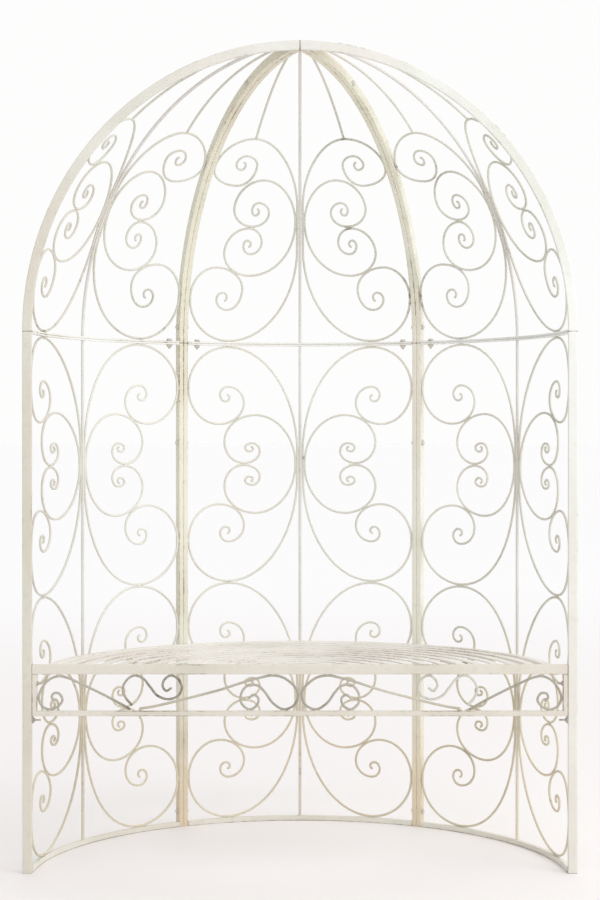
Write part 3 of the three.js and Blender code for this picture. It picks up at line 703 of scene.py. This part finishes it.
shy = clear_angle(grille_radius - bottom_deep / 2, fit)
for panel, (from_angle, to_angle) in panels.items():
    for rail, height, profile, paint, slot in rail_rows:
        bar = level_arc(grille_radius, from_angle + shy, to_angle - shy, height, profile)
        add_piece(f"{panel}_{rail}_bar", bar, paint, [f"{panel}_{rail}"])

    middle_angle, half_angle = (from_angle + to_angle) / 2, (to_angle - from_angle) / 2
    heights = np.linspace(bottom_tall + fit, top_rail_low - fit, 12)
    path = wall_place(middle_angle, grille_radius, heights)
    upright = carry(path, np.tile(outward_at(middle_angle), (len(heights), 1)), *rod)
    add_piece(f"{panel}_wall_rod_round", upright, "rod_cream", [f"{panel}_wall_rod"])

    end_radius = (stile_inset + fit + rod_thick / 2) / math.sin(half_angle)
    start_climb = math.asin((foot_rail_top + fit - spring) / grille_rise)
    climbs = np.linspace(start_climb, math.acos(end_radius / grille_radius), 80)
    path = dome_place(middle_angle, climbs, grille_radius, grille_rise)
    outward = dome_outward(middle_angle, climbs, grille_radius, grille_rise)
    rolled = carry(path, outward, *rod)
    add_piece(f"{panel}_gore_rod_round", rolled, "rod_cream", [f"{panel}_gore_rod"])
    note_welds(path[[0, -1]], outward[[0, -1]])
print("pieces so far:", len(made))

# %% [markdown]
# ## The shape of a scroll
#
# A scroll is wire rolled in ever tighter quarter turns. Its places are listed as shares of the room it
# has: at the first the wire runs upright, at the next level, and so on by turns, and a quarter of an
# ellipse joins each to the next. A spline through the same places would be shorter to write, but it
# bulges between them; quarter ellipses are what a bender's fork makes.

# %% Quarter ellipses from place to place
def quarter_chain(rows, steps=14):
    """Row to row by quarter ellipses, for all quarters at once.

    With a turn from 0 to 90 degrees, the upright share is its sine and the level share 1 minus its
    cosine where the quarter starts upright, and the other way round where it starts level.
    """
    rows = np.asarray(rows, float)
    turn = math.pi / 2 * np.arange(1, steps + 1) / steps
    late, early = 1 - np.cos(turn), np.sin(turn)
    starts_upright = (np.arange(len(rows) - 1) % 2 == 0)[:, None]
    share_x = np.where(starts_upright, late, early)
    share_y = np.where(starts_upright, early, late)
    span = rows[1:] - rows[:-1]
    x = rows[:-1, :1] + span[:, :1] * share_x
    y = rows[:-1, 1:] + span[:, 1:] * share_y
    chain = np.stack([x.ravel(), y.ravel()], axis=-1)
    return np.concatenate([rows[:1], chain])


def whole_wire(first_half, second_half):
    """From the end of the first curl, through the common start, to the end of the second."""
    return np.concatenate([first_half[:0:-1], second_half])


def evened(flat, gap=0.0035):
    """The same line with its points at even distances, by length along it."""
    length = np.concatenate([[0], np.cumsum(np.linalg.norm(np.diff(flat, axis=0), axis=1))])
    even = np.linspace(0, length[-1], max(8, int(length[-1] / gap)))
    return np.stack([np.interp(even, length, flat[:, k]) for k in range(2)], axis=-1)


# %% [markdown]
# ## Wall scrolls
#
# Each half panel has two rows, one above the other, and each row two nested wires: an outer one that
# leans on the rod and swings out to the stile above and below, and an inner one welded into its back.
# Both mirror themselves about the middle of the row. The flat drawing is bent round the wall by reading
# its x as arc length from the rod.

# %% Wall scroll shares
weld_lap = 0.0003
wall_outer_shares = [
    (0, 0.1), (0.62, 1), (1, 0.645), (0.71, 0.342), (0.48, 0.524),
    (0.624, 0.662), (0.7, 0.592), (0.65, 0.536), (0.612, 0.566), (0.628, 0.59),
]
wall_inner_shares = [
    (0, 0), (0.376, 0.42), (0.66, 0.188), (0.48, 0), (0.337, 0.107),
    (0.403, 0.179), (0.47, 0.144), (0.432, 0.108), (0.398, 0.13), (0.412, 0.148),
]
print("places in the outer and the inner wire:", len(wall_outer_shares), len(wall_inner_shares))

# %% Wall scrolls
def free_width(half_angle, radius):
    """The room between the rod and the stile at a radius, less the gaps and half a wire at each side."""
    near_rod = rod_thick / 2 + fit + wire_thick / 2
    near_stile = radius * (half_angle - clear_angle(radius, fit + wire_thick / 2))
    return near_rod, near_stile - near_rod


def wall_row(middle_angle, half_angle, side, low, high):
    """The outer and the inner wire of one row, mirrored up and down; notes where they are welded."""
    near_rod, width = free_width(half_angle, grille_radius)
    half_tall = (high - low) / 2 - wire_thick / 2 - fit / 2
    middle = (high + low) / 2
    outer = np.array(wall_outer_shares) * [width, half_tall] + [near_rod, 0]
    inner = np.array(wall_inner_shares) * [width, half_tall] + [near_rod, 0]
    inner[0, 0] = near_rod + wire_thick - weld_sink
    inner[1:, 1] = np.maximum(inner[1:, 1], wire_thick / 2 + fit / 2)
    inner[3, 1] = wire_thick / 2 - weld_lap
    bundles = []
    for rows in (outer, inner):
        upper = quarter_chain(rows)
        flat = evened(whole_wire(upper * [1, -1], upper))
        angles = middle_angle + side * flat[:, 0] / grille_radius
        path = wall_place(angles, grille_radius, middle + flat[:, 1])
        bundles.append(carry(path, outward_at(angles), *wire, tip=wire_thick / 2))
    stile_x, rail_x, rail_y = outer[2, 0] + wire_thick / 2, outer[1, 0], half_tall + wire_thick / 2
    between_x, between_y = near_rod + wire_thick / 4, 0.5 * outer[0, 1]
    upper = np.array([[stile_x, outer[2, 1]], [rail_x, rail_y], [between_x, between_y]])
    mirrored = (upper[:, None] * [[1, 1], [1, -1]]).reshape(-1, 2)
    touches = np.concatenate([mirrored, [[inner[3, 0], 0]]])
    angles = middle_angle + side * touches[:, 0] / grille_radius
    level = np.stack([np.cos(angles), -np.sin(angles), 0 * angles], axis=-1)
    runs_level = np.array([0, 0, 1, 1, 0, 0, 1])[:, None]
    along = np.where(runs_level, level, [0.0, 0.0, 1.0])
    note_welds(wall_place(angles, grille_radius, middle + touches[:, 1]), along)
    return bundles


def half_panels():
    """Each half panel: its panel, the panel's middle and half angle, the side (-1 or 1) and its name."""
    for panel, (from_angle, to_angle) in panels.items():
        for side, hand in [(-1, "left"), (1, "right")]:
            yield panel, (from_angle + to_angle) / 2, (to_angle - from_angle) / 2, side, hand


for panel, middle_angle, half_angle, side, hand in half_panels():
    wires = wall_row(middle_angle, half_angle, side, bottom_tall, scroll_joint + weld_sink / 2)
    wires += wall_row(middle_angle, half_angle, side, scroll_joint - weld_sink / 2, top_rail_low)
    node = f"{panel}_wall_scrolls_{hand}"
    paint = "side_wire" if panel == hand else "wall_wire"
    add_piece(node + "_wires", join(wires), paint, [node])
print("wires in one half panel:", len(wires))

# %% [markdown]
# ## Dome scrolls
#
# The dome's scrolls are drawn the same way, on a sheet as wide as the half panel is at the spring line.
# The sheet's height is the length along the dome, and towards the crown it is squeezed sideways just as
# the gore narrows. From the top of the outer scroll a straight tie runs on to the stile near the apex.

# %% Dome scroll shares
dome_outer_up_shares = [
    (0, 0.356), (0.567, 0.546), (1, 0.457), (0.686, 0.407), (0.481, 0.464),
    (0.631, 0.493), (0.738, 0.468), (0.66, 0.452), (0.622, 0.465), (0.645, 0.473),
]
dome_outer_down_shares = [
    (0, 0.245), (0.625, 0), (1, 0.116), (0.763, 0.191), (0.507, 0.137),
    (0.646, 0.085), (0.745, 0.111), (0.69, 0.128), (0.648, 0.117), (0.665, 0.108),
]
dome_inner_up_shares = [
    (0, 0.312), (0.369, 0.425), (0.663, 0.349), (0.452, 0.296), (0.291, 0.334),
    (0.404, 0.362), (0.47, 0.343), (0.432, 0.328), (0.396, 0.337), (0.412, 0.345),
]
dome_inner_down_shares = [
    (0, 0.312), (0.45, 0.172), (0.706, 0.231), (0.481, 0.296), (0.346, 0.257),
    (0.451, 0.227), (0.523, 0.248), (0.487, 0.262), (0.452, 0.254), (0.466, 0.246),
]
dome_shares = [dome_outer_up_shares, dome_outer_down_shares, dome_inner_up_shares, dome_inner_down_shares]
tie_end_share, tie_steps = 0.94, 60
print("places in each part of the dome's scrolls:", [len(rows) for rows in dome_shares])

# %% Dome scrolls
def dome_scrolls(middle_angle, half_angle, side):
    """The outer wire, the inner wire and the tie of half a gore."""
    sheet_wide = free_width(half_angle, grille_radius)[1]

    def on_dome(across, arc):
        """A place so far across from the rod and so far up along the dome, and its outward direction."""
        climb = arc / quarter_arc * math.pi / 2
        angle = middle_angle + side * across / (grille_radius * np.cos(climb))
        place = dome_place(angle, climb, grille_radius, grille_rise)
        return place, dome_outward(angle, climb, grille_radius, grille_rise)

    def squeezed(flat):
        """The sheet's x, scaled by the room left at that height."""
        climb = flat[:, 1] / quarter_arc * math.pi / 2
        near_rod, width = free_width(half_angle, grille_radius * np.cos(climb))
        return near_rod + width * flat[:, 0] / sheet_wide

    sheet = [sheet_wide, quarter_arc]
    outer_up, outer_down, inner_up, inner_down = [np.array(rows) * sheet for rows in dome_shares]
    lowest = foot_rail_top + fit + wire_thick / 2
    outer_down[1, 1] = quarter_arc * math.asin((lowest - spring) / grille_rise) / (math.pi / 2)
    inner_up[3, 1] += wire_thick / 2 - weld_lap
    inner_down[3, 1] -= wire_thick / 2 - weld_lap
    start_climb = inner_up[0, 1] / quarter_arc * math.pi / 2
    room = free_width(half_angle, grille_radius * math.cos(start_climb))[1]
    inner_up[0, 0] = inner_down[0, 0] = (wire_thick - weld_sink) * sheet_wide / room
    bundles = []
    for down, up in [(outer_down, outer_up), (inner_down, inner_up)]:
        flat = evened(whole_wire(quarter_chain(down), quarter_chain(up)))
        path, outward = on_dome(squeezed(flat), flat[:, 1])
        bundles.append(carry(path, outward, *wire, tip=wire_thick / 2))
    ends = np.array([outer_up[1], [sheet_wide, tie_end_share * quarter_arc]])
    across = np.linspace(*squeezed(ends), tie_steps)
    arc = np.linspace(*ends[:, 1], tie_steps)
    tie, outward = on_dome(across, arc)
    bundles.append(carry(tie, outward, *wire, tip=wire_thick / 2))
    touches = np.array([outer_up[1], outer_up[2], outer_down[1], outer_down[2], outer_up[0], inner_up[3]])
    touches[:, 1] += np.array([0, 0, -wire_thick / 2, 0, 0, -wire_thick / 2])
    places, outward = on_dome(squeezed(touches), touches[:, 1])
    level = unit(np.cross(outward, [0.0, 0.0, 1.0]))
    runs_level = np.array([1, 0, 1, 0, 0, 1])[:, None]
    note_welds(places, np.where(runs_level, level, np.cross(level, outward)))
    note_welds(tie[-1:], unit(tie[-1:] - tie[-2:-1]))
    return join(bundles)


for panel, middle_angle, half_angle, side, hand in half_panels():
    node = f"{panel}_gore_scrolls_{hand}"
    wires = dome_scrolls(middle_angle, half_angle, side)
    add_piece(node + "_wires", wires, "gore_wire", [node])
print("points in one half gore:", len(wires["points"]))

# %% [markdown]
# ## The bench
#
# The bench is a straight tube across the front, a half-round tube for its back edge, and thirteen flat
# bars bent to half circles between them, all about one centre, with three flat bearers underneath. A
# short lug at each rib carries the back edge.

# %% Seat sizes
seat_height = 0.490
front_rail_tall, front_rail_deep = 0.023, 0.012
deck_drop = 0.008
deck_top = seat_height - deck_drop
slat_wide, slat_thick, slat_pitch = 0.022, 0.003, 0.0405
rim_wide, rim_tall = 0.022, 0.018
rim_gap, rim_sink = 0.023, 0.002
rim_outer = leg_inner - rim_gap
rim_radius = rim_outer - rim_wide / 2
seat_centre_y = axis_y + front_rail_deep / 2
smallest_slat = 0.050
slat_radii = np.arange(rim_radius - slat_pitch, smallest_slat, -slat_pitch)
lug_tall, lug_wide = 0.010, 0.024
bearer_tall, bearer_wide, bearer_sink, bearer_gap = 0.005, 0.020, 0.0006, 0.001
bearers_across = (-0.330, 0, 0.330)
print("slats:", len(slat_radii))

# %% Front rail
def straight_bar(start, end, outward, profile, steps=24, bevel=0.0):
    """A profile carried straight from one point to another."""
    path = np.linspace(start, end, steps)
    return carry(path, np.tile(np.array(outward, float), (steps, 1)), *profile, bevel=bevel)


def half_ring(radius, profile, top, tall, steps=96):
    """A half circle about the seat's centre, from the back of the front rail round to it again."""
    end = math.acos((front_rail_deep / 2 + fit) / radius)
    ring = level_arc(radius, -end, end, top - tall / 2, profile, steps=steps)
    ring["points"][:, 1] += front_rail_deep / 2
    return ring


def straight_tube(x_ends, height, profile):
    """A bar across the front plane, with its ends drawn in a little."""
    start, end = [(x, axis_y + front_rail_deep / 2, height) for x in x_ends]
    return straight_bar(start, end, (0, -1, 0), profile, steps=80, bevel=tube_bevel)


front_half = leg_inner - fit
tube_bevel = 0.0011
front_bar = bar_profile(front_rail_deep, front_rail_tall, corner=0.0016)
front_rail = straight_tube((-front_half, front_half), seat_height - front_rail_tall / 2, front_bar)
add_piece("seat_front_rail_tube", front_rail, "bench_cream", ["seat_front_rail"])
print("front rail from", round(-front_half, 4), "to", round(front_half, 4))

# %% Seat deck
rim_bar = bar_profile(rim_wide, rim_tall, corner=0.0018)
lug_bar = bar_profile(lug_tall, lug_wide, corner=0.0012)
slat_bar = bar_profile(slat_wide, slat_thick, corner=0.0009)
bearer_bar = bar_profile(bearer_tall, bearer_wide, corner=0.001)
bearer_height = deck_top - slat_thick + bearer_sink - bearer_tall / 2

deck = [half_ring(rim_radius, rim_bar, deck_top, rim_tall)]
lug_reach = np.array([rim_outer - rim_sink, front_half])
for lug_angle in (-rib_angle, rib_angle):
    lug_ends = wall_place(lug_angle, lug_reach, deck_top - rim_tall / 2)
    deck.append(straight_bar(*lug_ends, (0, 0, 1), lug_bar))
deck += [half_ring(radius, slat_bar, deck_top, slat_thick) for radius in slat_radii]
for across in bearers_across:
    front = seat_centre_y + front_rail_deep / 2 + fit
    back = seat_centre_y + math.sqrt((rim_radius - rim_wide / 2) ** 2 - across**2) - bearer_gap
    ends = [(across, y, bearer_height) for y in (front, back)]
    deck.append(straight_bar(*ends, (0, 0, 1), bearer_bar))
add_piece("seat_deck_bars", join(deck), "seat_cream", ["seat_deck"])
print("points in the deck:", len(made["seat_deck_bars"].data.vertices))

# %% [markdown]
# ## The apron
#
# Under the front rail a second rail and two short posts frame a row of open scrolls. These are looser
# than the wall's: long, leaning wires with a curl at one end, that no fixed rule of quarters draws. So
# each is a smooth curve through places set as shares of the half width and of the height between the
# rails. The centripetal kind of spline is used, because it never loops or overshoots between places.

# %% Apron frame
apron_tall = 0.086
apron_rail_tall = 0.012
apron_post_wide = 0.012
front_rail_low = seat_height - front_rail_tall
apron_top = front_rail_low - apron_tall
apron_y = axis_y + front_rail_deep / 2
apron_bar = bar_profile(front_rail_deep, apron_rail_tall, corner=0.0014)
post_wear = 1.7
post_bar = bar_profile(front_rail_deep, apron_post_wide, corner=0.0014)
post_bar = (post_bar[0], post_wear * post_bar[1])
apron_frame = [straight_tube((-front_half, front_half), apron_top - apron_rail_tall / 2, apron_bar)]
for side in (-1, 1):
    post_x = side * (front_half - apron_post_wide / 2)
    post_ends = [(post_x, apron_y, height) for height in (apron_top - weld_sink, front_rail_low - fit)]
    apron_frame.append(straight_bar(*post_ends, (0, -1, 0), post_bar))
add_piece("apron_frame_tube", join(apron_frame), "bench_cream", ["apron_frame"])
print("apron from", round(apron_top - apron_rail_tall, 4), "to", round(front_rail_low, 4))

# %% Apron scroll shares
apron_shares = {
    "corner": [
        (0.65, 0.01), (0.699, 0.225), (0.785, 0.565), (0.843, 0.775), (0.887, 0.925), (0.924, 0.98),
        (0.961, 0.87), (0.99, 0.6), (1, 0.32), (0.986, 0.09), (0.957, 0), (0.926, 0.085), (0.909, 0.28),
        (0.922, 0.47), (0.943, 0.47), (0.95, 0.35), (0.94, 0.26),
    ],
    "middle": [
        (0.643, 0.14), (0.666, 0.35), (0.677, 0.6), (0.661, 0.87), (0.63, 1), (0.597, 0.9),
        (0.571, 0.66), (0.542, 0.4), (0.5, 0.3), (0.461, 0.42), (0.45, 0.66), (0.463, 0.89), (0.492, 1),
        (0.517, 0.87), (0.523, 0.68), (0.509, 0.545), (0.492, 0.62),
    ],
    "long": [
        (0.608, 0.03), (0.57, 0.07), (0.509, 0.17), (0.4, 0.38), (0.304, 0.575), (0.2, 0.83),
        (0.145, 0.94), (0.1, 1), (0.05, 0.9), (0.002, 0.5), (0.016, 0.14), (0.056, 0), (0.098, 0.18),
        (0.13, 0.51), (0.154, 0.69), (0.192, 0.72), (0.219, 0.5), (0.221, 0.2), (0.19, 0),
        (0.161, 0.12), (0.155, 0.33), (0.173, 0.43), (0.19, 0.34),
    ],
}


def centripetal(through, per_span=12):
    """A smooth curve through points, each span a cubic whose pace is the square root of the distances.

    With neighbours a, b, c, d and paces p, q, r between them, the slope at b is
    q * ((b - a) / p - (c - a) / (p + q) + (c - b) / q), and at c likewise with b, c, d and q, r.
    """
    ends = [2 * through[0] - through[1], 2 * through[-1] - through[-2]]
    dots = np.concatenate([ends[:1], through, ends[1:]])
    pace = np.sqrt(np.linalg.norm(np.diff(dots, axis=0), axis=1))[:, None]
    a, b, c, d = dots[:-3], dots[1:-2], dots[2:-1], dots[3:]
    p, q, r = pace[:-2], pace[1:-1], pace[2:]
    slope_b = q * ((b - a) / p - (c - a) / (p + q) + (c - b) / q)
    slope_c = q * ((c - b) / q - (d - b) / (q + r) + (d - c) / r)
    t = (np.arange(per_span) / per_span)[None, :, None]
    b, c, slope_b, slope_c = (v[:, None] for v in (b, c, slope_b, slope_c))
    cubic = (2 * t**3 - 3 * t**2 + 1) * b + (t**3 - 2 * t**2 + t) * slope_b
    cubic = cubic + (3 * t**2 - 2 * t**3) * c + (t**3 - t**2) * slope_c
    return np.concatenate([cubic.reshape(-1, through.shape[1]), through[-1:]])


print("places in each apron shape:", [len(shares) for shares in apron_shares.values()])

# %% Apron scrolls
# the right middle scroll takes the dome's wire paint, which is paler than the apron's
apron_paints = {
    "corner": ("apron_wire", "apron_wire"),
    "middle": ("apron_wire", "gore_wire"),
    "long": ("long_wire_left", "long_wire_right"),
}
touches_top, touches_foot = 0.97, 0.04
near_middle = wire_thick / 2 + fit / 2
apron_reach = front_half - apron_post_wide - 2 * fit - wire_thick / 2 - near_middle
lowest = apron_top + fit + wire_thick / 2
scroll_tall = front_rail_low - fit - wire_thick / 2 - lowest


def apron_places(side, flat):
    """Places in the apron's plane from a flat drawing of its right half."""
    return np.stack([side * flat[:, 0], np.full(len(flat), apron_y), flat[:, 1]], axis=-1)


for shape, shares in apron_shares.items():
    flat = np.array(shares) * [apron_reach, scroll_tall] + [near_middle, lowest]
    line = evened(centripetal(flat), gap=0.002)
    up = np.array(shares)[:, 1]
    reached = flat[(up > touches_top) | (up < touches_foot)]
    reached[:, 1] += np.sign(reached[:, 1] - lowest - scroll_tall / 2) * wire_thick / 2
    for side, hand, paint in zip((-1, 1), ("left", "right"), apron_paints[shape]):
        outward = np.tile([0.0, -1.0, 0.0], (len(line), 1))
        scroll = carry(apron_places(side, line), outward, *wire, tip=wire_thick / 2)
        note_welds(apron_places(side, reached), [1.0, 0.0, 0.0])
        node = f"apron_{shape}_scroll_{hand}"
        add_piece(node + "_wire", scroll, paint, [node])
print("apron scrolls:", 2 * len(apron_shares))

# %% [markdown]
# ## Bolts
#
# The paired stiles are held together by ordinary hexagon bolts, painted over with the rest: the shank is
# out of sight, so what shows is a washer and a slightly domed head on one side and a nut on the other.
# Beside each rib an upright bolt holds the gore's foot rail down on the wall's top rail, and the end of
# its thread stands out below the nut. Smaller bolts point inwards at each end of the apron, one through
# the post and one through a small lug under the rail.

# %% Bolt heads
bolt_heights = {
    "foot": 0.039,
    "wall": 1.008,
    "gore": foot_rail_top + 0.037,
    "crown": spring + stile_rise * math.sin(0.75 * math.pi / 2),
}
ring_bolt_aside = 0.0405
ring_bolt_turn = ring_bolt_aside / grille_radius
ring_bolt_angles = {
    "left": -rib_angle - ring_bolt_turn,
    "middle_left": -rib_angle + ring_bolt_turn,
    "middle_right": rib_angle - ring_bolt_turn,
    "right": rib_angle + ring_bolt_turn,
}


def hexagon_head(place, heading, tall, across, washer):
    """A washer, then a hexagon whose top edge is taken off to a shallow dome.

    Rings along the bolt's axis: the washer's two rims, then the hexagon's foot, shoulder and crown. Each
    row is a height, a radius and an exposure.
    """
    sides = 24
    turn = 2 * math.pi * np.arange(sides) / sides
    to_flat = np.cos(np.mod(turn + math.pi / 6, math.pi / 3) - math.pi / 6)
    hexagon = across / 2 / to_flat
    rows = [
        (0.0, washer / 2, 0.2),
        (0.0011, washer / 2, 0.7),
        (0.0012, hexagon, 0.3),
        (0.82 * tall, hexagon, 0.8),
        (0.95 * tall, 0.97 * across / 2, 0.9),
        (tall, 0.55 * across / 2, 0.4),
    ]
    heading = unit(np.asarray(heading, float))
    outward = unit(np.cross(heading, [0.3, 0.1, 1.0]))
    aside = np.cross(heading, outward)
    circle = np.cos(turn)[:, None] * outward + np.sin(turn)[:, None] * aside
    radii = [np.broadcast_to(row[1], sides)[:, None] for row in rows]
    rings = np.stack([place + row[0] * heading + radius * circle for row, radius in zip(rows, radii)])
    quads, fans = ring_faces(len(rows), sides)
    return {
        "points": np.concatenate([rings.reshape(-1, 3), [place, place + tall * heading]]),
        "quads": quads,
        "triangles": fans,
        "edge": np.concatenate([np.repeat([row[2] for row in rows], sides), [0.2, 0.4]]),
        "grime": np.zeros(len(rows) * sides + 2),
    }


print("bolts to make:", 2 * len(bolt_heights) + len(ring_bolt_angles))

# %% Rib bolts
def add_bolt(node, hexagons):
    """The visible ends of one bolt, with sharper creases than the tubes have."""
    add_piece(node + "_hexagons", join(hexagons), "bolt_cream", [node], smooth_degrees=30)


across, washer, head_tall, nut_tall = 0.010, 0.0155, 0.0042, 0.0046
seat_at = stile_inset + fit
for rib_name, edge_angle in [("left_rib", -rib_angle), ("right_rib", rib_angle)]:
    through = np.array([math.cos(edge_angle), -math.sin(edge_angle), 0])
    for bolt_name, height in bolt_heights.items():
        climb = math.asin(max(height - spring, 0) / stile_rise)
        centre = wall_place(edge_angle, stile_radius * math.cos(climb), height)
        head = hexagon_head(centre + seat_at * through, through, head_tall, across, washer)
        nut = hexagon_head(centre - seat_at * through, -through, nut_tall, across, washer)
        add_bolt(f"{rib_name}_{bolt_name}_bolt", [head, nut])
print("pieces so far:", len(made))

# %% Ring bolts
across, washer, head_tall, nut_tall, tail_long = 0.012, 0.017, 0.0055, 0.0062, 0.0105
thread = round_profile(0.006, sides=12, exposed=0.6)
for place_name, angle in ring_bolt_angles.items():
    above = wall_place(angle, grille_radius, foot_rail_top + fit)
    below = wall_place(angle, grille_radius, top_rail_low - fit)
    head = hexagon_head(above, (0, 0, 1), head_tall, across, washer)
    nut = hexagon_head(below, (0, 0, -1), nut_tall, across, washer)
    tail = straight_bar(below, below - [0, 0, tail_long], outward_at(angle), thread, steps=6)
    add_bolt(f"{place_name}_ring_bolt", [head, nut, tail])
print("pieces so far:", len(made))

# %% Apron end bolts
across, washer, head_tall = 0.0085, 0.0110, 0.0036
post_bolt_height, post_bolt_long = 0.4455, 0.0125
lug_bolt_up, lug_bolt_long = 0.0075, 0.0175
small_lug_wide, small_lug_thick, small_lug_down, small_lug_up = 0.010, 0.003, 0.017, 0.002
lug_low = apron_top - apron_rail_tall - small_lug_down
lug_high = apron_top - apron_rail_tall + small_lug_up
thin_thread = round_profile(0.004, sides=10, exposed=0.6)
small_lug_bar = bar_profile(small_lug_wide, small_lug_thick, corner=0.0006)
fixings = []
for side in (-1, 1):
    inward = np.array([-side, 0.0, 0.0])
    lug_x = side * (front_half - small_lug_thick / 2)
    lug_ends = [(lug_x, apron_y, height) for height in (lug_low, lug_high)]
    fixings.append(straight_bar(*lug_ends, (0, -1, 0), small_lug_bar))
    post_face = np.array([side * (front_half - apron_post_wide), apron_y, post_bolt_height])
    lug_face = np.array([side * (front_half - small_lug_thick), apron_y, lug_low + lug_bolt_up])
    for face, long in [(post_face, post_bolt_long), (lug_face, lug_bolt_long)]:
        fixings.append(hexagon_head(face, inward, head_tall, across, washer))
        fixings.append(straight_bar(face, face + long * inward, (0, -1, 0), thin_thread, steps=6))
add_piece("apron_end_bolts", join(fixings), "apron_wire", [], smooth_degrees=30)
print("apron end fixings:", len(fixings))

# %% [markdown]
# ## Weld beads
#
# The wires are tacked with small runs of weld wherever they touch a rod, a rail, a stile or each other.
# Beads are ellipsoids with a little lump in them, all worked out at once: each point of a unit ball is
# drawn out along the joint, thinner across it, and moved to its weld place in one sum.

# %% Bead shapes
def beads(welds, length, thick):
    """Place + lump * (thick / 2 * (x * side + y * other side) + length / 2 * z * along) for a unit ball.

    The lump is 1 plus a product of two sines of the ball's x and z, shifted by the bead's own number. The
    ball's rings run from its top down, so its faces are turned over to look outwards.
    """
    across, down = 10, 6
    turn = 2 * math.pi * np.arange(across) / across
    dip = math.pi * np.arange(1, down) / down
    wide, high = np.sin(dip)[:, None], np.cos(dip)[:, None]
    ball = np.stack([wide * np.cos(turn), wide * np.sin(turn), high * np.ones(across)], axis=-1)
    ball = np.concatenate([ball.reshape(-1, 3), [[0, 0, 1], [0, 0, -1]]])
    places, along = welds[:, :3], unit(welds[:, 3:])
    one_side = unit(np.cross(along, [0.31, 0.52, 0.79]))
    other_side = np.cross(along, one_side)
    own = np.arange(len(places))[:, None]
    lump = 1 + 0.16 * np.sin(3 * ball[None, :, 0] + 2.1 * own) * np.sin(4 * ball[None, :, 2] + 1.3 * own)
    x, y, z = (ball[None, :, k, None] for k in range(3))
    spread = thick / 2 * (x * one_side[:, None] + y * other_side[:, None])
    spread = spread + length / 2 * z * along[:, None]
    points = places[:, None] + lump[..., None] * spread
    quads, fans = ring_faces(down - 1, across)
    quads, fans = quads[:, [0, 3, 2, 1]], fans[:, [1, 0, 2]]
    shift = (len(ball) * np.arange(len(places)))[:, None, None]
    return {
        "points": points.reshape(-1, 3),
        "quads": (quads[None] + shift).reshape(-1, 4),
        "triangles": (fans[None] + shift).reshape(-1, 3),
        "edge": np.full(len(places) * len(ball), 0.5),
        "grime": np.zeros(len(places) * len(ball)),
    }


print("welds noted:", sum(len(places) for places in weld_places))

# %% Weld beads
welds = np.concatenate(weld_places)
add_piece("weld_beads", beads(welds, length=0.011, thick=0.0058), "wall_wire", [])
print("weld beads:", len(welds))

# %% [markdown]
# ## Stains round the welds
#
# Rust and rubbed paint gather where pieces meet. Each point of every piece gets a third number, the
# stain: it fades over about a centimetre from the nearest weld, and each weld has its own strength, most
# of them faint and a few strong, as a row of sines of the weld's place gives it. Those of the apron are
# fainter still, because its wires are already dark, and where rain splashes up from the ground they are
# stronger.

# %% Stain attribute
stain_reach, faint, strong = 0.008, 0.12, 0.6
apron_deep, apron_share = 0.02, 0.12
splash_height, splash = 0.06, 0.35
joints = welds[:, :3]
wave = 0.5 + 0.5 * np.sin(joints @ [91.7, 57.3, 73.1])
share = np.where(joints[:, 1] < axis_y + apron_deep, apron_share, 1.0)
strength = (faint + strong * wave**3) * share + np.where(joints[:, 2] < splash_height, splash, 0.0)


def stain_at(points, chunk=4000):
    """Strength of the nearest weld * exp(-(distance / reach)^2), a few thousand points at a time."""
    stains = []
    for i in range(0, len(points), chunk):
        gaps = np.linalg.norm(points[i : i + chunk, None] - joints[None], axis=2)
        nearest = gaps.argmin(axis=1)
        stains.append(strength[nearest] * np.exp(-((gaps.min(axis=1) / stain_reach) ** 2)))
    return np.concatenate(stains)


for piece in made.values():
    points = np.empty(3 * len(piece.data.vertices), np.float32)
    piece.data.vertices.foreach_get("co", points)
    layer = piece.data.attributes.new("stain", "FLOAT", "POINT")
    layer.data.foreach_set("value", stain_at(points.reshape(-1, 3)).astype(np.float32))
print("stained pieces:", len(made))

# %% [markdown] ## End
